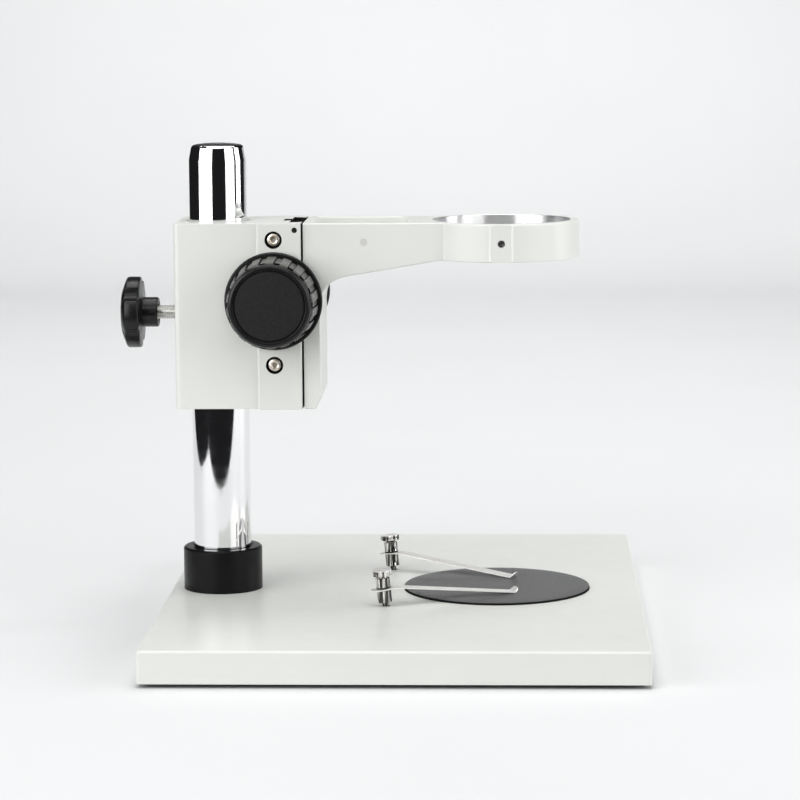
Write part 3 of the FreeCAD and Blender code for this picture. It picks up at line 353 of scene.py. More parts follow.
def thread(bm, major, minor, pitch, length, at, along):
    """Adds a threaded rod with pointed crests; its ends taper to the root."""
    per_turn, per_pitch, crest_gain = 40, 8, 1.35
    turn = AXES[along]
    steps = max(int(length / pitch * per_pitch), per_pitch)
    rings = []
    for level in range(steps + 1):
        h = length * level / steps
        ring = []
        for i in range(per_turn):
            phase = (h / pitch - i / per_turn) % 1.0
            crest = 1 - abs(2 * phase - 1)
            ends = min(1.0, h / pitch, (length - h) / pitch)
            reach = minor + (major - minor) * min(1.0, crest * crest_gain) * ends
            angle = TAU * i / per_turn
            spot = Vector((reach * math.cos(angle) * MM, reach * math.sin(angle) * MM, h * MM))
            ring.append(bm.verts.new(at + turn @ spot))
        rings.append(ring)
    for first, second in zip(rings, rings[1:]):
        for i in range(per_turn):
            j = (i + 1) % per_turn
            bm.faces.new([first[i], first[j], second[j], second[i]])
    bm.faces.new(list(reversed(rings[0])))
    bm.faces.new(rings[-1])


def to_object(name, bm, sharp=32):
    """A mesh object with outward faces, smooth except at edges sharper than the angle."""
    bmesh.ops.recalc_face_normals(bm, faces=bm.faces)
    mesh = bpy.data.meshes.new(name)
    bm.to_mesh(mesh)
    bm.free()
    mesh.polygons.foreach_set("use_smooth", [True] * len(mesh.polygons))
    mesh.set_sharp_from_angle(angle=math.radians(sharp))
    thing = bpy.data.objects.new(name, mesh)
    bpy.context.scene.collection.objects.link(thing)
    return thing


def install(thing, *stands_for, material=None):
    """Puts a finished piece on its body, in place of the CAD nodes that it stands for."""
    first = stands_for[0]
    if not thing.data.materials:
        thing.data.materials.append(material or finish[slot_of[first]])
    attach(thing, body_of[first])
    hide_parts(*stands_for)


def hexagon(across):
    """A radius rule that turns the circle of this radius into a hexagonal socket."""
    def radius(angle, r, _height):
        """The hexagon's reach at an angle, if r is its circle."""
        if abs(r - across) > 1e-6:
            return r
        return across / 2 / math.cos((angle % (TAU / 6)) - TAU / 12)
    return radius


def apply_modifier(thing, modifier):
    """Works a modifier into the mesh."""
    with bpy.context.temp_override(object=thing, active_object=thing, selected_objects=[thing]):
        bpy.ops.object.modifier_apply(modifier=modifier.name)


def slab(name, outline, plane, start, end):
    """A closed prism: the outline in the named plane, pushed along its normal."""
    bm = bmesh.new()
    rings = []
    for level in (start, end):
        ring = []
        for a, b in outline:
            spot = {"XY": (a, b, level), "XZ": (a, level, b)}[plane]
            ring.append(bm.verts.new(Vector(spot) * MM))
        rings.append(ring)
    count = len(outline)
    for i in range(count):
        j = (i + 1) % count
        bm.faces.new([rings[0][i], rings[0][j], rings[1][j], rings[1][i]])
    bm.faces.new(rings[0])
    bm.faces.new(list(reversed(rings[1])))
    return to_object(name, bm)


def bevel_edges(thing, size, chosen, steps):
    """Rounds edges; chosen picks them by their two end points."""
    mesh = thing.data
    weights = mesh.attributes.new("bevel_weight_edge", "FLOAT", "EDGE")
    for edge in mesh.edges:
        first, second = (mesh.vertices[v].co / MM for v in edge.vertices)
        weights.data[edge.index].value = 1.0 if chosen(first, second) else 0.0
    modifier = thing.modifiers.new("round", "BEVEL")
    modifier.limit_method = "WEIGHT"
    modifier.width = size * MM
    modifier.segments = steps
    modifier.use_clamp_overlap = True
    apply_modifier(thing, modifier)


def combine(thing, tools, operation):
    """Joins or cuts with other solids, which are then removed."""
    for tool in tools:
        modifier = thing.modifiers.new("shape", "BOOLEAN")
        modifier.operation = operation
        modifier.solver = "EXACT"
        modifier.object = tool
        apply_modifier(thing, modifier)
    for tool in tools:
        mesh = tool.data
        bpy.data.objects.remove(tool)
        bpy.data.meshes.remove(mesh)


def turned_tool(profile, at, along, segments):
    """A turned cutting tool; the point at is in metres."""
    bm = bmesh.new()
    spin(bm, profile, at, along, segments)
    return to_object("tool", bm)


def drill(radius, length, x, y, z, along, segments=48):
    """A round cutting tool, from the point along its direction."""
    return turned_tool([(0, 0), (radius, 0), (radius, length), (0, length)],
                       Vector((x, y, z)) * MM, along, segments)


def block(x_low, x_high, y_low, y_high, z_low, z_high):
    """A cutting tool with flat sides."""
    outline = [(x_low, y_low), (x_high, y_low), (x_high, y_high), (x_low, y_high)]
    return slab("tool", outline, "XY", z_low, z_high)


def lofted_tool(layers):
    """A cutting tool through outlines, each at its own height."""
    bm = bmesh.new()
    rings = [[bm.verts.new(Vector((x, y, z)) * MM) for x, y in outline] for outline, z in layers]
    for first, second in zip(rings, rings[1:]):
        for i in range(len(first)):
            j = (i + 1) % len(first)
            bm.faces.new([first[i], first[j], second[j], second[i]])
    bm.faces.new(rings[0])
    bm.faces.new(list(reversed(rings[-1])))
    return to_object("tool", bm)


def recolour(thing, material, test):
    """Gives the faces whose centre in mm passes a test another finish."""
    thing.data.materials.append(material)
    index = len(thing.data.materials) - 1
    for face in thing.data.polygons:
        if test(face.center / MM):
            face.material_index = index


def tidy_normals(thing):
    """Smooth shading that keeps flat faces flat beside rounded edges."""
    mesh = thing.data
    mesh.polygons.foreach_set("use_smooth", [True] * len(mesh.polygons))
    mesh.set_sharp_from_angle(angle=math.radians(30))
    modifier = thing.modifiers.new("normals", "WEIGHTED_NORMAL")
    modifier.keep_sharp = True
    modifier.weight = 80
    apply_modifier(thing, modifier)


# ---------------------------------------------------------------- pole, collar, stage plate

pole_at = Vector((middle("pole").x, middle("pole").y, low("pole").z))
pole_r, pole_len = width("pole", 0) / 2, width("pole", 2)
pole_x = pole_at.x / MM


def build_pole():
    """Chromed bar: taper near the top, then a softly domed end with spun metal."""
    dome, tip_r, taper = 1.8, 14.5, 7.5
    shoulder = pole_len - dome
    crown = [(tip_r * math.sin(a), shoulder + dome * math.cos(a)) for a in
             [math.pi / 2 * (1 - i / 10) for i in range(1, 11)]]
    profile = [(0, 0), (pole_r - 0.5, 0), (pole_r, 0.5), (pole_r, shoulder - taper, 3),
               (14.75, shoulder - 0.6, 0.8), (14.0, shoulder + 0.25, 0.4)]
    profile = soften(profile, 0.2, 6) + crown[2:]
    bm = bmesh.new()
    spin(bm, profile, pole_at, "Z", 192)
    bar = to_object("pole_bar", bm, 50)
    bar.data.materials.append(finish["pole_chrome"])
    crown_metal = surface("crown_metal", (0.30, 0.30, 0.305), (0.16, 0.16, 0.165), (0.22, 0.40),
                          metallic=1.0, mottle=260, grain=1500, grain_depth=0.00002)
    recolour(bar, crown_metal, lambda c: c.z > pole_at.z / MM + shoulder + 0.1)
    install(bar, "pole")


def build_collar():
    """Plain ring round the pole's foot, with bevelled top edges."""
    base = Vector((pole_at.x, pole_at.y, low("pole_collar").z))
    outer, tall = width("pole_collar", 0) / 2, width("pole_collar", 2)
    inner, bevel = pole_r + 0.05, 0.9
    profile = [(inner, 0), (outer, 0), (outer, tall - bevel), (outer - bevel, tall),
               (inner + 1.0, tall), (inner, tall - bevel)]
    bm = bmesh.new()
    rings = spin(bm, soften(profile, 0.15, 3, closed=True), base, "Z", 144)
    close_ring(bm, rings)
    install(to_object("collar_ring", bm), "pole_collar")


def build_stage():
    """Round plate with a grey top; its edge is a deeper black, which is painted shade."""
    at = Vector((*middle("stage_plate").xy, low("stage_plate").z))
    outer, tall = width("stage_plate", 0) / 2, width("stage_plate", 2)
    profile = [(0, 0), (outer, 0, 0.2), (outer, tall, 0.35), (outer - 6, tall, 0), (0, tall)]
    bm = bmesh.new()
    spin(bm, soften(profile, 0.2, 4), at, "Z", 192)
    mat = finish["stage_top"].copy()
    mat.name = "stage_disc"
    tree = mat.node_tree
    # Painted shade: the plate's side wall, below its top, is given a near-black colour.
    rim = calc(tree, "LESS_THAN", split_place(tree)[2], at.z + (tall - 0.2) * MM)
    edge = add(tree, "ShaderNodeBsdfPrincipled", {"Roughness": 0.75, "Specular IOR Level": 0.1})
    colour = blend_colours(tree, spread(tree, noise(tree, 200), 0, 1), (0.003, 0.003, 0.003),
                           (0.006, 0.006, 0.006))
    tree.links.new(colour, edge.inputs["Base Color"])
    overlay(mat, rim, edge.outputs[0])
    install(to_object("stage_disc", bm), "stage_plate", material=mat)


# ---------------------------------------------------------------- clamp

def build_clamp():
    """Five-lobed knob, moulded with rounded notches, on a threaded stud."""
    axis_z = middle("clamp_knob").z
    start = Vector((high("clamp_knob").x, 0.0, axis_z))
    top = width("clamp_knob", 0)
    rim_r, hub_r, lobes = 19.7, 9.5, 5
    notch_r, notch_at, notch_flare = 4.0, 21.5, 0.9
    rim_low, rim_high = 10.2, 18.5

    def star(angle, r, h):
        """Radius after the notches, which are wider near the knob's two faces."""
        if r < hub_r:
            return r
        turn = (angle - TAU / 4 + TAU / lobes / 2) % (TAU / lobes) - TAU / lobes / 2
        wide = notch_r + (notch_flare if h > rim_high or h < rim_low else 0.0)
        side = notch_at * math.sin(turn)
        if abs(side) >= wide:
            edge = abs(side) - wide
            return min(r, rim_r - max(0.0, 1.3 - edge) ** 2 * 0.45)
        gap = notch_at * math.cos(turn) - math.sqrt(wide * wide - side * side)
        return min(r, gap)

    profile = [(0, 11.8), (3.95, 11.8), (3.95, 1.5), (4.6, 1.3), (6.7, 0.1), (7.7, 0.05),
               (8.25, 0.6), (8.25, 8.5), (9.2, 9.0), (15, 9.2), (18.9, 9.5), (19.5, 9.9),
               (rim_r, 10.5), (rim_r, 16.3), (19.55, 16.8), (19.0, 17.3), (15.0, 19.0),
               (12.5, 19.85), (10, 20.2), (5, top - 0.05), (0, top)]
    bm = bmesh.new()
    spin(bm, profile, start, "-X", 300, star)
    install(to_object("star_knob", bm, 38), "clamp_knob")

    radius, depth, pitch = width("clamp_stud", 2) / 2, 0.75, 1.25
    stud_end = Vector((high("clamp_stud").x, 0.0, axis_z))
    bm = bmesh.new()
    thread(bm, radius, radius - depth, pitch, width("clamp_stud", 0), stud_end, "-X")
    install(to_object("stud_thread", bm, 60), "clamp_stud")


# ---------------------------------------------------------------- focus knobs

PADS, GRIP_START, GRIP_END, GRIP_BORE = 18, 4.0, 28.2, 20.53
POCKET_FROM, POCKET_DEPTH = 22.0, 1.8


def valley(h):
    """The grip's radius between its pads, at a height above the flange's inner face."""
    return 23.75 - 1.35 * (h - 4) / 24.2


def grip(angle, r, h):
    """Raised pads with rounded shoulders and fine lines along them."""
    if r < 21.5:
        return r
    pitch = TAU / PADS
    share = abs((angle % pitch) / pitch - 0.5) * 2
    rise = min(1.0, max(0.0, (0.63 - share) / 0.07))
    rise = rise * rise * (3 - 2 * rise)
    ends = max(0.0, min(1.0, (h - 4.2) / 0.6, (28.25 - h) / 0.3))
    height = 0.95 + 0.15 * (h - 4) / 24
    ribs = 0.05 * math.cos(angle * PADS * 8) if rise > 0.98 else 0.0
    pocket = (1 - rise) * POCKET_DEPTH * min(1.0, max(0.0, (h - POCKET_FROM) / 0.3))
    return r + (height * rise + ribs * rise) * ends - pocket


def build_focus_knob(side):
    """Hub, ribbed grip, and cap with a sunk matte disc; side is near or far."""
    out, flip = ("-Y", -1) if side == "near" else ("Y", 1)
    hub = f"knob_hub_{side}"
    face = high(hub).y if side == "near" else low(hub).y
    at = Vector((middle(hub).x, face, middle(hub).z))
    at_mm = at / MM

    profile = [(4.05, 0, 0), (26.1, 0), (26.75, 0.7), (26.75, 3.2), (26.1, 3.8), (20.5, 3.9, 0),
               (20.5, 26.5, 0.3), (6, 26.5, 0), (6, 24, 0), (4.05, 24, 0)]
    bm = bmesh.new()
    rings = spin(bm, soften(profile, 0.5, 4, closed=True), at, out, 180)
    close_ring(bm, rings)
    install(to_object(f"hub_{side}", bm), hub)

    levels = [GRIP_START, 4.3, 4.6, 5.0, 6.5, 10, 15, 20, POCKET_FROM, 22.3, 25.3, 27.2, 27.8,
              28.0, GRIP_END]
    outer = [(valley(h), h) for h in levels]
    bm = bmesh.new()
    rings = spin(bm, [(GRIP_BORE, GRIP_START)] + outer + [(GRIP_BORE, GRIP_END)], at, out, 720,
                 grip)
    close_ring(bm, rings)
    thing = to_object(f"grip_{side}", bm, 40)
    thing.data.materials.append(finish["grip_grey"])

    def dark(c):
        """Painted shade: the pockets in front of the valleys and the steps beside the pads,
        coloured black.
        """
        h = abs(c.y - at_mm.y)
        reach = math.hypot(c.x - at_mm.x, c.z - at_mm.z)
        lifted = reach - valley(h)
        step = 0.12 < lifted < 0.85 and h < 27
        return reach > 20.6 and 4.4 < h < 28.1 and (lifted < -0.15 or step)

    # Painted shade in the pockets and along the pads' steps.
    recolour(thing, finish["knob_black"], dark)
    install(thing, f"knob_grip_{side}")

    cap = [(0, 26.6), (20.3, 26.6, 0), (20.3, 28.3, 0), (22.45, 28.3, 0.15), (22.6, 29.6, 0.5),
           (22.0, 31.0, 0.7), (20.9, 31.7, 0.5), (19.6, 31.65, 0.3), (19.2, 30.5, 0.05),
           (18.8, 30.5, 0.05), (18.5, 31.05, 0.15), (17.5, 31.08, 0), (0, 31.1)]
    bm = bmesh.new()
    spin(bm, soften(cap, 0.2, 4), at, out, 180)
    thing = to_object(f"cap_{side}", bm)
    thing.data.materials.append(finish["knob_black"])
    recolour(thing, finish["knob_satin"], lambda c: math.hypot(c.x - at_mm.x, c.z - at_mm.z) < 18.75
             and (c.y - at_mm.y) * flip > 30)
    install(thing, f"knob_cap_{side}")


# ---------------------------------------------------------------- screws

def cap_screw(bm, at, along, head_r, head_len, shank_r, shank_len, key):
    """Adds a socket screw from its head's face, with the shank running on along the axis."""
    profile = [(0, head_len * 0.5), (key, head_len * 0.5), (key, 0.35), (key * 0.62 + 0.3, 0.0),
               (head_r - 1.15, 0.0), (head_r - 0.15, 0.4), (head_r, 0.65), (head_r, head_len),
               (shank_r, head_len), (shank_r, head_len + shank_len), (0, head_len + shank_len)]
    spin(bm, profile, at, along, 72, hexagon(key))


def build_side_screws():
    """Two bright cap screws in the block's near side."""
    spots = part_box("side_screws")
    head_r, head_len, shank_r, shank_len, key = 3.5, 4.0, 2.0, 20.0, 3.0
    x = middle("side_screws").x
    bm = bmesh.new()
    for z in (spots[0].z + head_r * MM, spots[1].z - head_r * MM):
        cap_screw(bm, Vector((x, spots[0].y, z)), "Y", head_r, head_len, shank_r, shank_len, key)
    bright = surface("bright_caps", (0.92, 0.90, 0.86), (0.70, 0.60, 0.46), (0.30, 0.46),
                     metallic=1.0, mottle=520, grain=2400, grain_depth=0.00002)
    install(to_object("side_caps", bm), "side_screws", material=bright)


# ---------------------------------------------------------------- stage clips

# A clip leans about a point PIVOT below the base's top, and its strip is turned inwards.
LEAN, PIVOT, STRIP_TURN = math.radians(6.5), 3.5, math.radians(24.4)
CLIP_X, CLIP_Y = 4.5, 52.9
BARREL_R, STUD_R, NECK_R, HEAD_R = 3.85, 1.95, 2.6, 5.35


def lean_back(bm, side):
    """Moves a clip from its own frame, x along its strip and z up from the base, to its place."""
    sign = 1 if side == "near" else -1
    spot = Vector((CLIP_X, -sign * CLIP_Y, high("base_plate").z / MM - PIVOT)) * MM
    turn = Matrix.Rotation(STRIP_TURN * sign, 4, "Z") @ Matrix.Rotation(-LEAN, 4, "Y")
    place = Matrix.Translation(spot) @ turn @ Matrix.Translation(Vector((0, 0, PIVOT * MM)))
    bmesh.ops.transform(bm, matrix=place, verts=bm.verts)


def reflection_striped(name, dark, light):
    """Bright nickel over fine flutes, with painted reflections: narrow dark and light lines up the
    piece.
    """
    mat = surface(name, light, light, (0.06, 0.14), metallic=1.0, grain=1800, grain_depth=0.000003)
    tree = mat.node_tree
    out = next(n for n in tree.nodes if n.type == "BSDF_PRINCIPLED")
    # Painted reflection: the base colour swings from near black to bright in narrow lines up the
    # piece.
    lines = noise(tree, 1.0, 2, 0.5, (560, 560, 16))
    tree.links.new(blend_colours(tree, spread(tree, lines, 0, 1, 0.43, 0.55), dark, light),
                   out.inputs["Base Color"])
    return mat


# The clip's nickel, with painted reflections in its colour.
fluted = reflection_striped("nickel_painted_reflections", (0.05, 0.048, 0.045), (0.88, 0.865, 0.84))
# Satin for the leaf spring, also used as painted light on the clips' upward faces.
satin_strip_and_lit_tops = surface("satin_strip_and_lit_tops", (0.93, 0.92, 0.90), (0.88, 0.865, 0.84), (0.34, 0.46),
                      metallic=0.6, mottle=120, streak=(900, 900, 900),
                      streak_depth=0.000002, grain_depth=0.000003)


def fade(h, start, start_run, end, end_run):
    """1 between two heights, falling to 0 at them over the given runs."""
    return min(1.0, max(0.0, (h - start) / start_run), max(0.0, (end - h) / end_run))


def flutes(angle, r, h):
    """Shallow flutes round the lower and upper barrel, fading at their ends."""
    if r < 3.8:
        return r
    ends = fade(h, 2.9, 0.5, 8.8, 0.4) if h < 9.5 else fade(h, 10.5, 0.4, 15.5, 0.5)
    return r - 0.09 * (0.5 - 0.5 * math.cos(angle * 22)) * ends


def knurl(angle, r, h):
    """Straight knurl round the thumb head, and flutes round the barrel."""
    if r < 4.9 or h < 17.1:
        return flutes(angle, r, h) if r < 3.9 else r
    return r - 0.26 * (0.5 - 0.5 * math.cos(angle * 40)) * fade(h, 17.35, 0.4, 20.05, 0.4)


def build_clip(side):
    """Post with a fluted barrel, leaf spring and knurled thumb screw."""
    post = [(0, -7), (1.65, -7, 0.2), (1.65, 1.7), (2.3, 2.1, 0.2), (BARREL_R, 2.3),
            (BARREL_R, 2.9, 0), (BARREL_R, 3.4, 0), (BARREL_R, 8.4, 0), (BARREL_R, 8.8, 0),
            (BARREL_R, 9.1), (3.45, 9.4), (2.0, 9.4, 0), (2.0, 3.1, 0), (0, 3.1)]
    bm = bmesh.new()
    spin(bm, soften(post, 0.25, 3), Vector(), "Z", 264, flutes)
    lean_back(bm, side)
    install(to_object(f"post_{side}", bm), f"clip_post_{side}", material=fluted)

    barrel = [(0, 3.6), (STUD_R, 3.6), (STUD_R, 10.0), (3.5, 10.0), (3.8, 10.12), (BARREL_R, 10.5),
              (BARREL_R, 10.9), (BARREL_R, 15.0), (BARREL_R, 15.5), (BARREL_R, 15.8), (3.6, 16.1),
              (3.3, 16.2), (NECK_R, 16.2), (NECK_R, 17.2)]
    head = [(4.9, 17.2), (5.2, 17.32), (HEAD_R, 17.55), (HEAD_R, 18.2), (HEAD_R, 19.2),
            (HEAD_R, 19.75), (5.2, 20.05), (4.9, 20.2), (4.3, 20.2), (3.9, 20.05), (0, 20.05)]
    clip_metals = (fluted, satin_strip_and_lit_tops, finish["knob_black"])
    lit_top_index, shadow_band_index = 1, 2
    bm = bmesh.new()
    spin(bm, barrel + head, Vector(), "Z", 320, knurl)
    # Painted shadow: a black band round the barrel just under the leaf.
    for face in bm.faces:
        spot = face.calc_center_median() / MM
        if 9.9 < spot.z < 10.95 and math.hypot(spot.x, spot.y) > 2.5:
            face.material_index = shadow_band_index
    lean_back(bm, side)
    thing = to_object(f"thumb_{side}", bm, 34)
    for metal in clip_metals:
        thing.data.materials.append(metal)
    # Painted light: upward-facing faces take the lighter satin finish, as if lit from above.
    for face in thing.data.polygons:
        if face.normal.z > 0.8:
            face.material_index = lit_top_index
    install(thing, f"clip_screw_{side}")
    build_leaf(side)


def build_leaf(side):
    """Bent spring strip: flat at the post, straight down to the disc, curled up at its end."""
    thick, tail, tip, corner_r = 0.5, 7, 78.3, 3.0
    spine = [(-tail, 9.45), (-5, 9.45), (-2, 9.45), (2, 9.45), (4.6, 9.45), (5.6, 9.37),
             (6.6, 9.22), (7.8, 8.99)]
    for i in range(1, 12):
        share = i / 12
        spine.append((7.8 + 66.4 * share, 8.99 - 15.6 * share))
    spine += [(74.6, -6.68), (75.2, -6.80), (75.8, -6.72), (76.6, -6.25), (77.4, -5.55),
              (77.95, -4.95), (tip, -4.6)]
    crossings = (-1, -0.97, -0.5, 0, 0.5, 0.97, 1)
    wide, edge_dip = len(crossings), 0.06
    bm = bmesh.new()
    rows = []
    for i, (s, z) in enumerate(spine):
        before, after = Vector(spine[max(i - 1, 0)]), Vector(spine[min(i + 1, len(spine) - 1)])
        way = (after - before).normalized()
        half = 4.7 - 0.7 * (s + tail) / 85.3
        for from_end in (s + tail, (tip - s) * 1.2):
            if from_end < corner_r:
                cut = corner_r ** 2 - (corner_r - from_end) ** 2
                half -= corner_r - math.sqrt(max(cut, 0))
        row = []
        for level in (0.0, thick):
            for cross in crossings:
                dip = edge_dip if abs(cross) == 1 else 0.0
                lift = level + (dip if level == 0 else -dip)
                spot = Vector((s - way.y * lift, half * cross, z + way.x * lift))
                row.append(bm.verts.new(spot * MM))
        rows.append(row)
    for first, second in zip(rows, rows[1:]):
        loop = list(range(wide)) + [2 * wide - 1 - k for k in range(wide)]
        for k in range(2 * wide):
            a, b = loop[k], loop[(k + 1) % (2 * wide)]
            bm.faces.new([first[a], first[b], second[b], second[a]])
    for row in (rows[0], rows[-1]):
        for k in range(wide - 1):
            bm.faces.new([row[k], row[k + 1], row[wide + k + 1], row[wide + k]])
    lean_back(bm, side)
    install(to_object(f"leaf_{side}", bm, 40), f"clip_strip_{side}", material=satin_strip_and_lit_tops)


# ---------------------------------------------------------------- painted castings

def level_edge(z):
    """A test for edges that lie at a height."""
    return lambda first, second: abs(first.z - z) < SAME and abs(second.z - z) < SAME


def build_base():
    """Flat plate with rounded edges, a sunk seat for the stage plate, and its holes."""
    base_low, base_high = (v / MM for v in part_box("base_plate"))
    corners = [(base_low.x, base_low.y), (base_high.x, base_low.y),
               (base_high.x, base_high.y), (base_low.x, base_high.y)]
    outline = soften(corners, 2.2, 6, closed=True)
    plate = slab("base_slab", outline, "XY", base_low.z, base_high.z)
    top, bottom = base_high.z, base_low.z
    lip = 0.9
    bevel_edges(plate, 1.5, level_edge(top), 5)
    bevel_edges(plate, lip, level_edge(bottom), 2)
    stage, seat_r = middle("stage_plate") / MM, width("stage_plate", 0) / 2 + 0.4
    tools = [drill(seat_r, 5, stage.x, 0, top - 2, "Z", 192)]
    for side in (-1, 1):
        tools.append(drill(2.25, 12, CLIP_X, side * CLIP_Y, top - 7.5, "Z", 40))
    feet_low, feet_high = (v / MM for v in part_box("rubber_feet"))
    foot_r = 10
    for x in (feet_low.x + foot_r, feet_high.x - foot_r):
        for y in (feet_low.y + foot_r, feet_high.y - foot_r):
            tools.append(drill(foot_r + 0.2, 4, x, y, bottom - 1, "Z", 64))
    tools.append(drill(11, 11, pole_x, 0, bottom - 1, "Z", 64))
    tools.append(drill(5.25, 12, pole_x, 0, bottom + 5, "Z", 48))
    combine(plate, tools, "DIFFERENCE")
    tidy_normals(plate)
    plate.data.materials.append(finish["base_paint"])
    # Painted shadow: the lower bevel is black, standing in for the shade in the gap under the
    # plate.
    recolour(plate, finish["black_steel"], lambda c: c.z < bottom + lip + 0.02)
    install(plate, "base_plate")


def build_housing():
    """Bored block with rounded edges; its front half is a little wider than the back."""
    least, most = (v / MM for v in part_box("housing"))
    front, tall = most.x, most.z - least.z
    step, narrow, wide = pole_x + 23.7, 29.0, most.y
    groove, relief_cut, floor_half = 7, 11.25, 21.0
    half = [(step, narrow, 0.4), (step, wide, 1.9), (front, wide, 1.3), (front, 17.0, 0.25),
            (front - groove, floor_half, 0.2), (front - groove, 6.5, 0.2),
            (front - relief_cut, 6.5, 0.2)]
    outline = [(least.x, narrow, 3.2)] + half + [(x, -y, r) for x, y, r in reversed(half)]
    outline = soften(outline + [(least.x, -narrow, 3.2)], 0.2, 6, closed=True)
    casting = slab("housing_block", outline, "XY", least.z, most.z)
    at_bottom, at_top = level_edge(least.z), level_edge(most.z)

    def rim(first, second):
        """The edges round the top and bottom, but not the groove's."""
        level = at_bottom(first, second) or at_top(first, second)
        return level and all(abs(v.y) > 22 or v.x < step for v in (first, second))

    bevel_edges(casting, 1.1, rim, 4)
    shaft, pin = middle("pinion_shaft") / MM, middle("stop_pin") / MM
    clamp_z = middle("clamp_stud").z / MM
    near = -wide - 1
    bore_r, mouth_r = 17.04, 19.04
    bore = [(0, -1), (mouth_r, -1), (bore_r, 1), (bore_r, tall - 1), (mouth_r, tall + 1),
            (0, tall + 1)]
    tools = [
        turned_tool(bore, Vector((pole_x, 0, least.z)) * MM, "Z", 128),
        block(-65.0, front - 11.2, -11.05, 11.05, 143.95, 222.05),
        drill(6.01, 2 * wide + 2, shaft.x, near, shaft.z, "Y"),
        drill(3.95, 22, least.x - 1, 0, clamp_z, "X"),
        drill(1.52, 16, pin.x, near, pin.z, "Y"),
    ]
    cap_r, seat_r = 3.5, 4.75
    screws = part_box("side_screws")
    seats = [screws[0].z / MM + cap_r, screws[1].z / MM - cap_r]
    for z in seats:
        tools += [drill(seat_r, 6.1, shaft.x, near, z, "Y"),
                  drill(2.25, wide, shaft.x, near, z, "Y")]
    for part in (0.2, 0.5, 0.8):
        tools.append(drill(2.0, 15.3, pin.x, wide + 1, least.z + tall * part, "-Y"))
    combine(casting, tools, "DIFFERENCE")
    tidy_normals(casting)
    casting.data.materials.append(finish["head_paint"])

    def in_seat(c):
        """The walls and floors of the side screws' seats."""
        return -wide + 0.25 < c.y < -wide + 6 and any(
            math.hypot(c.x - shaft.x, c.z - z) < seat_r + 0.05 for z in seats)

    def shaded_gap_faces(c):
        """Painted shade: the front face and the walls of the dovetail groove, black so that the gap
        reads dark.
        """
        return c.x > front - 0.05 or (abs(c.y) < floor_half + 0.2 and c.x > front - 11.4
                                      and least.z + 0.05 < c.z < most.z - 0.05)

    recolour(casting, finish["black_steel"], in_seat)
    # Painted shade: black faces by the gap between housing and arm.
    recolour(casting, finish["black_steel"], shaded_gap_faces)
    install(casting, "housing")


def arc_rectangle(x_low, x_high, half, r_low, r_high, grow):
    """A rounded rectangle's outline, grown outwards, always with the same count of points."""
    steps = 8
    points = []
    corners = [(x_high, half, r_high, 0), (x_low, half, r_low, 90), (x_low, -half, r_low, 180),
               (x_high, -half, r_high, 270)]
    for x, y, r, start in corners:
        centre = (x - math.copysign(r, x - (x_low + x_high) / 2), y - math.copysign(r, y))
        for i in range(steps + 1):
            angle = math.radians(start + 90 * i / steps)
            points.append((centre[0] + (r + grow) * math.cos(angle),
                           centre[1] + (r + grow) * math.sin(angle)))
    return points


def well_layers(top):
    """The well's outlines from its floor upwards: rounded foot, walls, and flared rim."""
    floor, foot_r, rim_r = 212, 2, 0.9

    def outline(grow):
        """The well's plan, grown outwards."""
        return arc_rectangle(-35.8, 16, 24, 3.5, 8, grow)

    layers = []
    for i in range(7):
        turn = math.pi / 2 * i / 6
        layers.append((outline(-foot_r + foot_r * math.sin(turn)),
                       floor + foot_r - foot_r * math.cos(turn)))
    for i in range(6):
        turn = math.pi / 2 * i / 5
        layers.append((outline(rim_r * (1 - math.cos(turn))),
                       top - rim_r + rim_r * math.sin(turn)))
    return layers + [(outline(rim_r), top + 1)]


